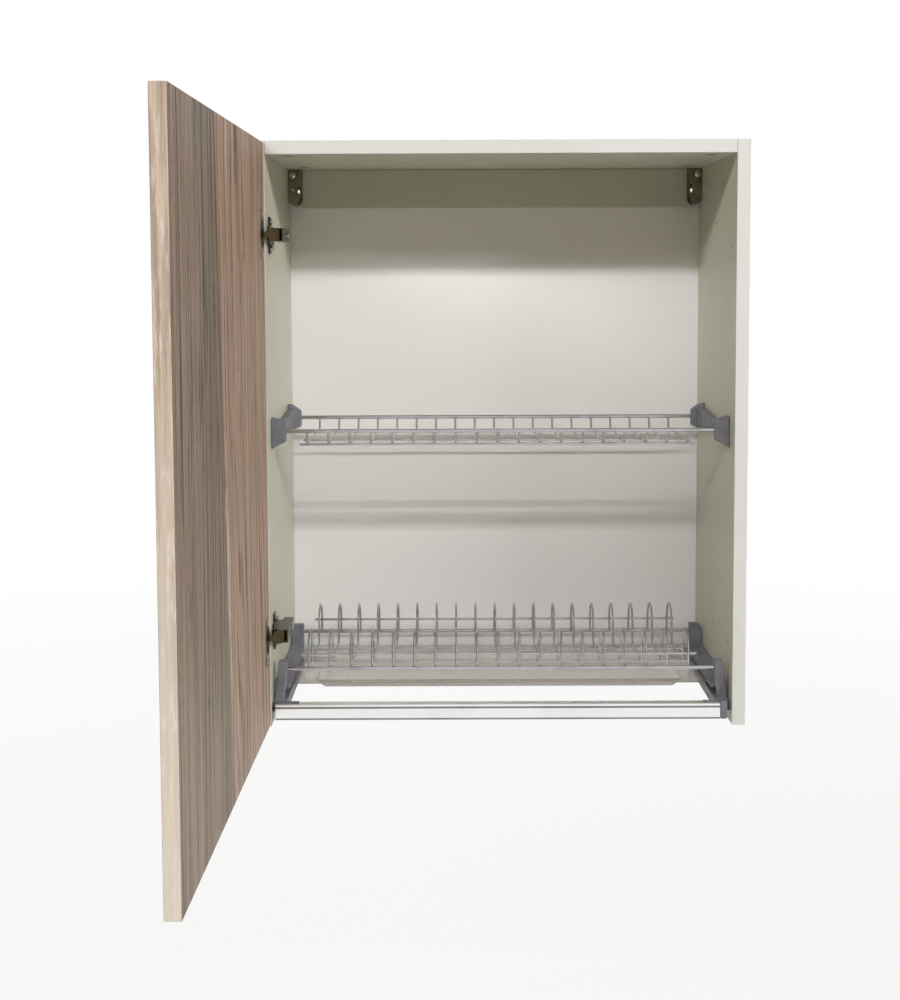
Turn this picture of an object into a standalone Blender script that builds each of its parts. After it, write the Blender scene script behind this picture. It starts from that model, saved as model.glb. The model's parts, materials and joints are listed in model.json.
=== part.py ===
"""Dish drying cabinet: a wall cabinet with one side-hung door and an open bottom.

A cup rack, a plate rack and a drip tray hang on plastic mouldings between its sides,
and two aluminium profiles close the frame at the foot. The door is at rest open.

Metres, +Z up. X runs across, Y runs from the door (negative) to the wall (zero), and
the origin is the middle of the back panel's wall face. A place inside the cabinet is
given by its depth behind the sides' front edges and its drop below the top.
"""

import math

import bmesh
import bpy
from mathutils import Matrix, Vector

# Clearances
SEAT = 0.0003
SLIP = 0.0005
OVERRUN = 0.002
HOLE_SLIP = 0.0002
PIN_SLIP = 0.00008

# Carcass
CABINET_WIDTH = 0.600
CABINET_HEIGHT = 0.716
SIDE_DEPTH = 0.300
PANEL = 0.016
BACK_THICKNESS = 0.003
EDGE_EASE = 0.0004
RAIL_HEIGHT = 0.052
RAIL_THICKNESS = 0.016

# Rows of holes in the sides
HOLE_LINE = 0.037
HOLE_STEP = 0.032
HOLE_RADIUS = 0.0025
HOLE_DEPTH = 0.012
THIRD_HOLE_DEPTH = 0.152

# Door
DOOR_MARGIN = 0.002
DOOR_WIDTH = CABINET_WIDTH - 2 * DOOR_MARGIN
DOOR_HEIGHT = CABINET_HEIGHT - 2 * DOOR_MARGIN
DOOR_THICKNESS = 0.016
DOOR_GAP = 0.0025
DOOR_OPEN = math.radians(90.7)

# Hinges
HINGE_INSET = 0.112
PIVOT_FROM_EDGE = 0.00575
PIVOT_FROM_FACE = 0.00725
CUP_FROM_EDGE = 0.0205
CUP_BORE_RADIUS = 0.0175
CUP_BORE_DEPTH = 0.0118
CUP_WALL = 0.0013
CUP_FLOOR = 0.001
FLANGE_THICKNESS = 0.001
FLANGE_RADIUS = 0.0188
FLANGE_HALF_HEIGHT = 0.030
FLANGE_BAR_RADIUS = 0.0065
CUP_SCREW_SPACING = 0.048
CUP_SCREW_OFFSET = 0.006
CHEEK_THICKNESS = 0.0039
CHEEK_LENGTH = 0.0041
CHEEK_DROP = 0.0035
NOSE_HALF_HEIGHT = 0.0034
EYE_RADIUS = 0.0019
NOTCH_DEPTH = 0.0035
PIN_RADIUS = 0.001
PIN_HALF_LENGTH = 0.0062
STRAP = 0.002
NECK_REACH = 0.02795
NECK_DEPTH = 0.0187
ARM_HALF_HEIGHT = 0.008
ARM_WALL = 0.0015
ARM_DEPTH = 0.012
ARM_FRONT = 0.004
ARM_END = 0.078
PLATE_BASE = 0.002
PLATE_FRONT = 0.020
PLATE_END = 0.072
WING_HALF_HEIGHT = 0.0225
WING_HALF_WIDTH = 0.0075
SPINE_FRONT = 0.012
ARM_SCREW_DEPTH = 0.060

# Screws: head radius, head height, shank radius and length under the head
CUP_SCREW = (0.0032, 0.0012, 0.0016, 0.009)
PLATE_SCREW = (0.0038, 0.0018, 0.0022, 0.0125)
ARM_SCREW = (0.0034, 0.0018, 0.0018, 0.009)
BRACKET_SCREW = (0.0034, 0.0018, 0.0018, 0.0145)
ADJUSTER = (0.0045, 0.0012, 0.0025, 0.010)
CROWN_SHARE = 0.6
RIM_SHARE = 0.4

# Cam locks
CAM_INSET = 0.026
CAM_RADIUS = 0.0074
CAM_HEIGHT = 0.0122
CAM_REAR_ROOM = 0.060
CAM_REAR_STEPS = math.floor((SIDE_DEPTH - HOLE_LINE - CAM_REAR_ROOM) / HOLE_STEP)
BOLT_HEAD_RADIUS = 0.0034
BOLT_HEAD_LENGTH = 0.003
BOLT_SHANK_RADIUS = 0.002
BOLT_TO_CAM_AXIS = 0.0015
BOLT_THREAD_RADIUS = 0.0025
BOLT_THREAD_LENGTH = 0.011

# Hangers
HANGER_WIDTH = 0.018
HANGER_HEIGHT = 0.040
HANGER_DEPTH = 0.0300
HANGER_WALL = 0.002
TONGUE_DROP = 0.010
ADJUSTER_FROM_WALL = 0.0060
ADJUSTER_DROP = 0.0080
SMALL_HOLE_DROP = 0.0275
SMALL_HOLE_RADIUS = 0.0015
SLOT_WIDTH = 0.0025
SLOT_LENGTH = 0.011
HOOK_WIDTH = 0.010
HOOK_THICKNESS = 0.0025
HOOK_DROP = 0.014
HOOK_LIP = 0.012
HOOK_LIP_GAP = 0.005
HOOK_TRAVEL = 0.004

# Both racks
CROSS_WIRES = 19
RACK_END_ROOM = 0.0461
WIRE_RADIUS = 0.0013
ROD_RADIUS = 0.0025
THIN_ROD_RADIUS = 0.0015
WELD_SINK = 0.0003
RACK_SHIFT = -0.0028

# Cup rack
CUP_ROD_DROP = 0.354
CUP_FRONT_DEPTH = 0.040
CUP_REAR_ROOM = 0.063
CUP_REAR_DEPTH = SIDE_DEPTH - CUP_REAR_ROOM
CUP_FLOOR_DROP = 0.0155
CUP_SLANT = 0.006
CUP_EASE = CUP_SLANT / 2
CUP_CHAMFER = CUP_SLANT / 3
CUP_FLOOR_OVERHANG = 0.010
CUP_FLOOR_ROD_DEPTH = 0.103

# Upper brackets
POD_REACH = 0.018
SOCKET_REACH = 0.011
POD_WALL_SLIP = 0.0002
UPPER_POD_RISE = 0.018
UPPER_POD_FALL = 0.022
UPPER_POD_RISE_INNER = 0.0125
UPPER_POD_FALL_INNER = 0.0123
UPPER_FRONT_POD_LENGTH = 0.012
UPPER_REAR_POD_LENGTH = 0.014
SADDLE_REACH = 0.010
SADDLE_TOP_RISE = 0.0095
SADDLE_DIP = 0.0025
SADDLE_BOTTOM_FALL = 0.0095
REAR_SCREW_ROOM = 0.100
REAR_SCREW_STEP = math.floor((SIDE_DEPTH - HOLE_LINE - REAR_SCREW_ROOM) / HOLE_STEP)
BRACKET_SCREW_STEPS = (1, REAR_SCREW_STEP)
SHOULDER_SHARE = 0.3
CHIN_SHARE = 0.55
SADDLE_TOP_SHARES = (
    (0, 1.35),
    (0.10, 1.03),
    (0.17, 1),
    (0.36, 0),
    (0.48, 0),
    (0.70, 1),
    (0.95, 1.9),
    (1, 2.4),
)
SADDLE_FOOT_SHARES = ((1, 1.35), (0.93, 1.25), (0.72, 1.2), (0.27, 0.75), (0.10, 0.9), (0, 1.6))

# Plate rack
PLATE_ROD_HEIGHT = 0.065
PLATE_ROD_DROP = CABINET_HEIGHT - PLATE_ROD_HEIGHT
PLATE_FRONT_DEPTH = 0.030
PLATE_REAR_ROOM = 0.060
PLATE_REAR_DEPTH = SIDE_DEPTH - PLATE_REAR_ROOM
ARCH_WIDTH = 0.050
ARCH_TOP_RISE = 0.043
PLATE_FLOOR_DROP = 0.0045
WIRE_BEND = 0.005
RIM_ROD_RISE = 0.0165
FRONT_FLOOR_ROD_STEP = 0.062
REAR_FLOOR_ROD_STEP = 0.080
FLOOR_ROD_DEPTHS = (
    PLATE_FRONT_DEPTH + FRONT_FLOOR_ROD_STEP,
    PLATE_REAR_DEPTH - REAR_FLOOR_ROD_STEP,
)
RIM_OVERHANG = 0.010

# Lower brackets
LOWER_POD_RISE = 0.010
LOWER_POD_WIDTH = 0.0115
LOWER_POD_LEAN = 0.0055
LOWER_FRONT_POD_LENGTH = 0.016
LOWER_REAR_POD_LENGTH = 0.014
ARM_WALL_FALL = 0.0175
ARM_INNER_FALL = 0.0285
ARM_WALL_DROP = PLATE_ROD_DROP + ARM_WALL_FALL
ARM_INNER_DROP = PLATE_ROD_DROP + ARM_INNER_FALL
ARM_THICKNESS = 0.0025
ARM_START = 0.050
ARM_REAR_ROOM = 0.048
ARM_STOP = SIDE_DEPTH - ARM_REAR_ROOM
LEDGE_FALL = 0.038
RAIL_FOOT_FALL = 0.052
LEDGE_DROP = PLATE_ROD_DROP + LEDGE_FALL
RAIL_FOOT_DROP = PLATE_ROD_DROP + RAIL_FOOT_FALL
LEDGE_REACH = 0.0175
MOULDING_WALL = 0.002
BASE_RAIL_FRONT = 0.017

# Profiles and corners
PROFILE_FALL = 0.0355
PROFILE_DROP = PLATE_ROD_DROP + PROFILE_FALL
PROFILE_HEIGHT = 0.0226
PROFILE_DEPTH = 0.014
PROFILE_WALL = 0.0015
PROFILE_CHAMFER = 0.0012
GROOVE_DROP = 0.0065
GROOVE_HEIGHT = 0.0016
GROOVE_DEPTH = 0.001
PROFILE_FACE_SETBACK = 0.001
PROFILE_WALL_GAP = 0.0042
CORNER_CAP = 0.0092
CORNER_WALL_GAP = 0.0048
CORNER_TONGUE = 0.020
CORNER_PLUG = 0.018

# Drip tray
TRAY_FRONT_DEPTH = 0.100
TRAY_REAR_ROOM = 0.0165
TRAY_LENGTH = SIDE_DEPTH - TRAY_FRONT_DEPTH - TRAY_REAR_ROOM
TRAY_SHEET = 0.0015
TRAY_SIDE_SLIP = 0.0105
TRAY_RIM_WIDTH = 0.033
TRAY_END_RIM = 0.014
TRAY_DEPTH = 0.010
TRAY_SLOPE = 0.010

# Facets
ROUND = 12
CUP_ROUND = 16
SMALL_ROUND = 8
ROD_FACETS = 8
THIN_FACETS = 6
WIRE_FACETS = 4
ARC_STEPS = 6
BEND_STEPS = 2
SHARP_ANGLE = math.radians(40)
JOIN_DISTANCE = SEAT / 100
AXIS_JOIN_DISTANCE = SEAT / 10

TOP = CABINET_HEIGHT / 2
FRONT = -(BACK_THICKNESS + SEAT + SIDE_DEPTH)
INNER = CABINET_WIDTH / 2 - PANEL
WALL_FACE = INNER - SEAT
WIRE_PITCH = 2 * (WALL_FACE - RACK_END_ROOM) / (CROSS_WIRES - 1)
PROFILE_END = WALL_FACE - PROFILE_WALL_GAP
HINGE_DROPS = (HINGE_INSET, CABINET_HEIGHT - HINGE_INSET)
HINGE_NAMES = ("upper", "lower")
SIDES = ((-1, "left"), (1, "right"))
PARTS = bpy.data.collections.new("dish_drying_cabinet")
CUTTERS = bpy.data.collections.new("cutters")


def clear_scene():
    """Empties the scene and gives it the two collections."""
    for old in list(bpy.data.objects):
        bpy.data.objects.remove(old, do_unlink=True)
    for collection in (PARTS, CUTTERS):
        bpy.context.scene.collection.children.link(collection)


def material(name, colour, roughness, metallic=0.0, alpha=1.0):
    """A Principled material; the colour is linear RGB."""
    made = bpy.data.materials.new(name)
    made.use_nodes = True
    shader = made.node_tree.nodes["Principled BSDF"]
    shader.inputs["Base Color"].default_value = (*colour, 1.0)
    shader.inputs["Roughness"].default_value = roughness
    shader.inputs["Metallic"].default_value = metallic
    shader.inputs["Alpha"].default_value = alpha
    return made


def inside(x, depth, drop):
    """The world place at a depth behind the sides' front edges and a drop below the top."""
    return Vector((x, FRONT + depth, TOP - drop))


def in_door(along, into, drop):
    """A place in the door's own frame, whose axis is the hinge pins' and whose X runs from them."""
    return Vector((along - PIVOT_FROM_EDGE, PIVOT_FROM_FACE - into, TOP - drop))


def mesh_from(bm, name, smooth=False):
    """Turns a bmesh into a mesh, with its normals out."""
    bmesh.ops.recalc_face_normals(bm, faces=bm.faces[:])
    mesh = bpy.data.meshes.new(name)
    bm.to_mesh(mesh)
    bm.free()
    if smooth:
        mesh.shade_smooth()
        mesh.set_sharp_from_angle(angle=SHARP_ANGLE)
    return mesh


def helper(name, mesh):
    """A working object, kept out of the render."""
    obj = bpy.data.objects.new(name, mesh)
    obj.hide_render = True
    obj.display_type = "WIRE"
    CUTTERS.objects.link(obj)
    return obj


def part(name, mesh, finish, place=(0, 0, 0), parent=None):
    """A named piece of the cabinet."""
    obj = bpy.data.objects.new(name, mesh)
    obj.location = place
    obj.parent = parent
    if not mesh.materials:
        mesh.materials.append(finish)
    PARTS.objects.link(obj)
    return obj


def add_block(bm, low, high):
    """Adds a box between two corners, given in any order."""
    low, high = Vector(low), Vector(high)
    size = high - low
    matrix = Matrix.Translation((low + high) / 2) @ Matrix.Diagonal((*map(abs, size), 1))
    bmesh.ops.create_cube(bm, size=1, matrix=matrix)


def add_cylinder(bm, start, end, radius, sides=ROUND):
    """Adds a cylinder whose axis runs between two points."""
    start, end = Vector(start), Vector(end)
    run = end - start
    turn = Vector((0, 0, 1)).rotation_difference(run).to_matrix().to_4x4()
    matrix = Matrix.Translation((start + end) / 2) @ turn
    bmesh.ops.create_cone(
        bm,
        cap_ends=True,
        segments=sides,
        radius1=radius,
        radius2=radius,
        depth=run.length,
        matrix=matrix,
    )


def blocks(name, *corners):
    """A helper made of separate boxes."""
    bm = bmesh.new()
    for low, high in corners:
        add_block(bm, low, high)
    return helper(name, mesh_from(bm, name))


def cylinders(name, radius, *axes, sides=ROUND):
    """A helper made of separate cylinders of one radius."""
    bm = bmesh.new()
    for start, end in axes:
        add_cylinder(bm, start, end, radius, sides)
    return helper(name, mesh_from(bm, name))


def read_mesh(obj):
    """The object's evaluated mesh in world space, with loose caps welded; the object is removed."""
    bpy.context.view_layer.update()
    graph = bpy.context.evaluated_depsgraph_get()
    mesh = bpy.data.meshes.new_from_object(obj.evaluated_get(graph))
    mesh.transform(obj.matrix_world)
    bm = bmesh.new()
    bm.from_mesh(mesh)
    bmesh.ops.remove_doubles(bm, verts=bm.verts[:], dist=JOIN_DISTANCE)
    bmesh.ops.recalc_face_normals(bm, faces=bm.faces[:])
    bm.to_mesh(mesh)
    bm.free()
    bpy.data.objects.remove(obj, do_unlink=True)
    return mesh


def prism(name, outline, across, start, end):
    """A flat outline drawn square to an axis ('X', 'Y' or 'Z') and extruded between two places on it.

    The outline's pairs are (y, z) for X, (x, z) for Y and (x, y) for Z.
    """
    curve = bpy.data.curves.new(name, "CURVE")
    curve.dimensions = "2D"
    curve.fill_mode = "BOTH"
    curve.extrude = abs(end - start) / 2
    spline = curve.splines.new("POLY")
    spline.points.add(len(outline) - 1)
    for point, (first, second) in zip(spline.points, outline):
        point.co = (first, second, 0, 1)
    spline.use_cyclic_u = True
    obj = helper(name, curve)
    middle = (start + end) / 2
    turns = {
        "X": Matrix(((0, 0, 1, middle), (1, 0, 0, 0), (0, 1, 0, 0), (0, 0, 0, 1))),
        "Y": Matrix(((1, 0, 0, 0), (0, 0, -1, middle), (0, 1, 0, 0), (0, 0, 0, 1))),
        "Z": Matrix.Translation((0, 0, middle)),
    }
    obj.matrix_world = turns[across]
    return helper(name, read_mesh(obj))


def turned(name, profile, place, towards, sides=ROUND):
    """A turned helper: (radius, height) pairs from the top of the axis, down the outside, to its foot."""
    bm = bmesh.new()
    corners = [bm.verts.new((radius, 0, height)) for radius, height in profile]
    for first, second in zip(corners, corners[1:]):
        bm.edges.new((first, second))
    mesh = bpy.data.meshes.new(name)
    bm.to_mesh(mesh)
    bm.free()
    obj = helper(name, mesh)
    screw = obj.modifiers.new("turn", "SCREW")
    screw.steps = screw.render_steps = sides
    screw.use_merge_vertices = True
    screw.merge_threshold = AXIS_JOIN_DISTANCE
    turn = Vector((0, 0, 1)).rotation_difference(Vector(towards))
    obj.matrix_world = Matrix.Translation(place) @ turn.to_matrix().to_4x4()
    made = read_mesh(obj)
    made.shade_smooth()
    made.set_sharp_from_angle(angle=SHARP_ANGLE)
    return helper(name, made)


def strip(name, path, thickness, half_height):
    """A bent metal strip: a path in plan raised to a wall and thickened evenly."""
    bm = bmesh.new()
    low = [bm.verts.new((x, y, -half_height)) for x, y in path]
    high = [bm.verts.new((x, y, half_height)) for x, y in path]
    for step in range(len(path) - 1):
        bm.faces.new((low[step], low[step + 1], high[step + 1], high[step]))
    obj = helper(name, mesh_from(bm, name))
    thicken = obj.modifiers.new("thicken", "SOLIDIFY")
    thicken.thickness = thickness
    thicken.offset = 0
    thicken.use_even_offset = True
    return helper(name, read_mesh(obj))


def combine(base, tool, operation):
    """Puts a Boolean with the tool on an object."""
    change = base.modifiers.new(operation.lower(), "BOOLEAN")
    change.operation = operation
    change.solver = "EXACT"
    change.object = tool


def merged(base, joins=(), cuts=(), smooth=False):
    """One mesh from a helper, with others joined to it and cut from it; all the helpers are removed."""
    for tool in joins:
        combine(base, tool, "UNION")
    for tool in cuts:
        combine(base, tool, "DIFFERENCE")
    mesh = read_mesh(base)
    for tool in (*joins, *cuts):
        bpy.data.objects.remove(tool, do_unlink=True)
    if smooth:
        mesh.shade_smooth()
        mesh.set_sharp_from_angle(angle=SHARP_ANGLE)
    return mesh


def centred(mesh):
    """Moves a mesh to its own middle and returns that place."""
    corners = [vertex.co for vertex in mesh.vertices]
    low = Vector(map(min, zip(*corners)))
    high = Vector(map(max, zip(*corners)))
    middle = (low + high) / 2
    mesh.transform(Matrix.Translation(-middle))
    return middle


def own_part(name, mesh, finish, parent=None):
    """A piece whose origin is its own middle."""
    place = centred(mesh)
    return part(name, mesh, finish, place, parent)


def board(name, low, high, finish, parent=None):
    """A panel with eased edges, its origin at its middle."""
    low, high = Vector(low), Vector(high)
    bm = bmesh.new()
    add_block(bm, low, high)
    obj = own_part(name, mesh_from(bm, name), finish, parent)
    ease = obj.modifiers.new("eased edges", "BEVEL")
    ease.width = EDGE_EASE
    ease.segments = 1
    return obj


def screw_mesh(name, sizes):
    """A screw lying on its seat: its head's underside at zero, its shank down."""
    head_radius, head_height, shank_radius, length = sizes
    profile = (
        (0, head_height),
        (head_radius * CROWN_SHARE, head_height),
        (head_radius, head_height * RIM_SHARE),
        (head_radius, 0),
        (shank_radius, 0),
        (shank_radius, -length + shank_radius),
        (0, -length),
    )
    obj = turned(name, profile, (0, 0, 0), (0, 0, 1), SMALL_ROUND)
    mesh = obj.data
    bpy.data.objects.remove(obj, do_unlink=True)
    return mesh


def place_screw(name, mesh, finish, seat, towards, parent=None):
    """A screw whose head's underside is on its seat, SEAT clear, and whose head points towards a side."""
    towards = Vector(towards)
    obj = part(name, mesh, finish, Vector(seat) + towards * SEAT, parent)
    obj.rotation_mode = "QUATERNION"
    obj.rotation_quaternion = Vector((0, 0, 1)).rotation_difference(towards)
    return obj


def shank_hole(sizes):
    """Radius and depth of the hole that a screw's shank goes in."""
    return sizes[2] + HOLE_SLIP, sizes[3] + SLIP


# Places that several pieces share


def hinge_axis(drop):
    """The hinge pin's middle, in the world."""
    return inside(-DOOR_WIDTH / 2 + PIVOT_FROM_EDGE, -DOOR_GAP - PIVOT_FROM_FACE, drop)


def cam_places():
    """(side, depth, name) of each cam lock in the top panel."""
    rear = HOLE_LINE + CAM_REAR_STEPS * HOLE_STEP
    for side, side_name in SIDES:
        for depth, row in ((HOLE_LINE, "front"), (rear, "rear")):
            yield side, depth, f"{side_name}_{row}"


def bracket_screw_depths():
    """Depths of a bracket's screws, on the sides' hole grid."""
    return [HOLE_LINE + HOLE_STEP * steps for steps in BRACKET_SCREW_STEPS]


def upper_screw_drop():
    """Drop of the upper brackets' screws, in the middle of the saddle bar."""
    return CUP_ROD_DROP + (SADDLE_BOTTOM_FALL - SADDLE_TOP_RISE + SADDLE_DIP) / 2


def lower_screw_drop():
    """Drop of the lower brackets' screws, in the middle of the base rail."""
    return (LEDGE_DROP + MOULDING_WALL + RAIL_FOOT_DROP) / 2


def side_holes(side):
    """Every hole in a side, as cylinders by radius; x runs from the inner face into the board."""
    def bore(depth, drop, length):
        return (
            inside(side * (INNER - OVERRUN), depth, drop),
            inside(side * (INNER + length), depth, drop),
        )

    plate_radius, _ = shank_hole(PLATE_SCREW)
    grid = [
        bore(HOLE_LINE, drop + way * HOLE_STEP / 2, HOLE_DEPTH)
        for drop in HINGE_DROPS
        for way in (-1, 1)
    ]
    thirds = (HINGE_DROPS[0] - HOLE_STEP / 2, HINGE_DROPS[1] + HOLE_STEP / 2)
    grid += [bore(THIRD_HOLE_DEPTH, drop, HOLE_DEPTH) for drop in thirds]
    screw_radius, screw_length = shank_hole(BRACKET_SCREW)
    past_moulding = screw_length - MOULDING_WALL - SEAT
    screws = [
        bore(depth, drop, past_moulding)
        for drop in (upper_screw_drop(), lower_screw_drop())
        for depth in bracket_screw_depths()
    ]
    bolts = [
        bore(depth, PANEL / 2, BOLT_THREAD_LENGTH + SLIP)
        for way, depth, _ in cam_places()
        if way == side
    ]
    return (
        cylinders(f"side_grid_{side}", max(HOLE_RADIUS, plate_radius), *grid, sides=SMALL_ROUND),
        cylinders(f"side_screws_{side}", screw_radius, *screws, sides=SMALL_ROUND),
        cylinders(
            f"side_bolts_{side}", BOLT_THREAD_RADIUS + HOLE_SLIP, *bolts, sides=SMALL_ROUND
        ),
    )


def build_carcass(laminate, back_board):
    """The two sides, the top, the rail under it and the back."""
    for side, name in SIDES:
        obj = board(
            f"{name}_side",
            inside(side * INNER, 0, 0),
            inside(side * CABINET_WIDTH / 2, SIDE_DEPTH, CABINET_HEIGHT),
            laminate,
        )
        for holes in side_holes(side):
            combine(obj, holes, "DIFFERENCE")

    top = board(
        "top_panel",
        inside(-WALL_FACE, 0, 0),
        inside(WALL_FACE, SIDE_DEPTH, PANEL),
        laminate,
    )
    cam_bores = []
    bolt_bores = []
    for side, depth, _ in cam_places():
        axis = side * (INNER - CAM_INSET)
        cam_bores.append(
            (inside(axis, depth, PANEL + OVERRUN), inside(axis, depth, PANEL - CAM_HEIGHT - SLIP))
        )
        bolt_bores.append(
            (inside(axis, depth, PANEL / 2), inside(side * (INNER + OVERRUN), depth, PANEL / 2))
        )
    combine(top, cylinders("cam_bores", CAM_RADIUS + HOLE_SLIP, *cam_bores), "DIFFERENCE")
    combine(
        top,
        cylinders("bolt_bores", BOLT_HEAD_RADIUS + HOLE_SLIP, *bolt_bores, sides=SMALL_ROUND),
        "DIFFERENCE",
    )

    rail_reach = WALL_FACE - HANGER_WIDTH - SEAT
    rail_top = PANEL + SEAT
    board(
        "rear_rail",
        inside(-rail_reach, SIDE_DEPTH - RAIL_THICKNESS, rail_top),
        inside(rail_reach, SIDE_DEPTH, rail_top + RAIL_HEIGHT),
        laminate,
    )

    back = board(
        "back_panel",
        (-CABINET_WIDTH / 2, -BACK_THICKNESS, -TOP),
        (CABINET_WIDTH / 2, 0, TOP),
        back_board,
    )
    hook_x = WALL_FACE - HANGER_WIDTH / 2
    hook_drop = PANEL + SEAT + HOOK_DROP
    cuts = []
    for side, _ in SIDES:
        reach = HOOK_WIDTH / 2 + SLIP
        low = inside(side * hook_x - reach, SIDE_DEPTH - OVERRUN, hook_drop - HOOK_TRAVEL - SLIP)
        high = inside(
            side * hook_x + reach,
            SIDE_DEPTH + BACK_THICKNESS + OVERRUN,
            hook_drop + HOOK_LIP + HOOK_TRAVEL + SLIP,
        )
        cuts.append((low, high))
    combine(back, blocks("hook_openings", *cuts), "DIFFERENCE")


def build_cam_locks(steel):
    """A cam in each bore of the top, and the bolt that it draws in."""
    pocket = BOLT_HEAD_RADIUS + HOLE_SLIP
    disc = turned(
        "cam",
        ((0, CAM_HEIGHT), (CAM_RADIUS, CAM_HEIGHT), (CAM_RADIUS, 0), (0, 0)),
        (0, 0, 0),
        (0, 0, 1),
    )
    axis_height = PANEL / 2
    mouth = blocks(
        "cam_pocket",
        (
            (-BOLT_TO_CAM_AXIS, -pocket, axis_height - pocket),
            (CAM_RADIUS + OVERRUN, pocket, axis_height + pocket),
        ),
    )
    key = blocks(
        "cam_key",
        (
            (-CAM_RADIUS / 2, -SLIP, -OVERRUN),
            (CAM_RADIUS / 2, SLIP, BOLT_TO_CAM_AXIS),
        ),
    )
    cam = merged(disc, cuts=(mouth, key))

    reach = CAM_INSET - BOLT_TO_CAM_AXIS - SLIP
    profile = (
        (0, BOLT_THREAD_LENGTH),
        (BOLT_THREAD_RADIUS, BOLT_THREAD_LENGTH),
        (BOLT_THREAD_RADIUS, SLIP),
        (BOLT_SHANK_RADIUS, SLIP),
        (BOLT_SHANK_RADIUS, BOLT_HEAD_LENGTH - reach),
        (BOLT_HEAD_RADIUS, BOLT_HEAD_LENGTH - reach),
        (BOLT_HEAD_RADIUS, -reach),
        (0, -reach),
    )
    for side, depth, name in cam_places():
        lock = part(f"cam_{name}", cam, steel, inside(side * (INNER - CAM_INSET), depth, PANEL))
        if side < 0:
            lock.rotation_euler.z = math.pi
        bolt = turned(
            f"bolt_{name}",
            profile,
            inside(side * INNER, depth, PANEL / 2),
            (side, 0, 0),
            SMALL_ROUND,
        )
        own_part(f"cam_bolt_{name}", merged(bolt, smooth=True), steel)


def build_hangers(grey_steel, steel):
    """The adjustable hangers in the rear top corners, with the hook that goes through the back."""
    top = PANEL + SEAT
    foot = top + HANGER_HEIGHT
    rear = SIDE_DEPTH
    front = rear - HANGER_DEPTH
    for side, name in SIDES:
        outer = WALL_FACE
        inner = WALL_FACE - HANGER_WIDTH
        middle = side * (outer + inner) / 2
        tongue = HANGER_WIDTH / 2 - HANGER_WALL
        shoulder = foot - HANGER_WALL
        drops = [(side * outer, TOP - top), (side * outer, TOP - shoulder)]
        for step in range(ARC_STEPS + 1):
            turn = math.pi * step / ARC_STEPS
            drops.append(
                (middle + side * tongue * math.cos(turn), TOP - foot - TONGUE_DROP * math.sin(turn))
            )
        drops += [(side * inner, TOP - shoulder), (side * inner, TOP - top)]
        body = prism(f"hanger_{name}", drops, "Y", FRONT + front, FRONT + rear)
        reach = HANGER_WIDTH / 2 - HANGER_WALL
        hollow = blocks(
            "hollow",
            (
                inside(middle - reach, front + HANGER_WALL, top + HANGER_WALL),
                inside(middle + reach, rear + OVERRUN, shoulder - HANGER_WALL),
            ),
        )
        adjuster_x = side * (outer - ADJUSTER_FROM_WALL)
        adjuster_radius, _ = shank_hole(ADJUSTER)
        adjuster_hole = cylinders(
            "adjuster_hole",
            adjuster_radius,
            (
                inside(adjuster_x, front - OVERRUN, top + ADJUSTER_DROP),
                inside(adjuster_x, front + HANGER_WALL + OVERRUN, top + ADJUSTER_DROP),
            ),
            sides=SMALL_ROUND,
        )
        small_hole = cylinders(
            "small_hole",
            SMALL_HOLE_RADIUS,
            (
                inside(adjuster_x, front - OVERRUN, top + SMALL_HOLE_DROP),
                inside(adjuster_x, front + HANGER_WALL + OVERRUN, top + SMALL_HOLE_DROP),
            ),
            sides=SMALL_ROUND,
        )
        slot_x = side * (inner + HANGER_WALL + SLOT_WIDTH / 2)
        slot = blocks(
            "slot",
            (
                inside(
                    slot_x - SLOT_WIDTH / 2,
                    front - OVERRUN,
                    top + SMALL_HOLE_DROP - SLOT_LENGTH / 2,
                ),
                inside(
                    slot_x + SLOT_WIDTH / 2,
                    front + HANGER_WALL + OVERRUN,
                    top + SMALL_HOLE_DROP + SLOT_LENGTH / 2,
                ),
            ),
        )
        mesh = merged(body, cuts=(hollow, adjuster_hole, small_hole, slot))
        own_part(f"hanger_body_{name}", mesh, grey_steel)
        place_screw(
            f"hanger_adjuster_{name}",
            screw_mesh("adjuster", ADJUSTER),
            steel,
            inside(adjuster_x, front, top + ADJUSTER_DROP),
            (0, -1, 0),
        )

        hook_top = TOP - top - HOOK_DROP
        web = front + HANGER_WALL + ADJUSTER[3] + SLIP
        wall = BACK_THICKNESS + SEAT + HOOK_LIP_GAP
        outline = (
            (FRONT + web, hook_top),
            (FRONT + rear + wall + HOOK_THICKNESS, hook_top),
            (FRONT + rear + wall + HOOK_THICKNESS, hook_top - HOOK_LIP),
            (FRONT + rear + wall, hook_top - HOOK_LIP),
            (FRONT + rear + wall, hook_top - HOOK_THICKNESS),
            (FRONT + web + HOOK_THICKNESS, hook_top - HOOK_THICKNESS),
            (FRONT + web + HOOK_THICKNESS, hook_top - HOOK_LIP),
            (FRONT + web, hook_top - HOOK_LIP),
        )
        hook = prism(
            f"hook_{name}", outline, "X", middle - HOOK_WIDTH / 2, middle + HOOK_WIDTH / 2
        )
        own_part(f"hanger_hook_{name}", merged(hook), steel)


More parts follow.
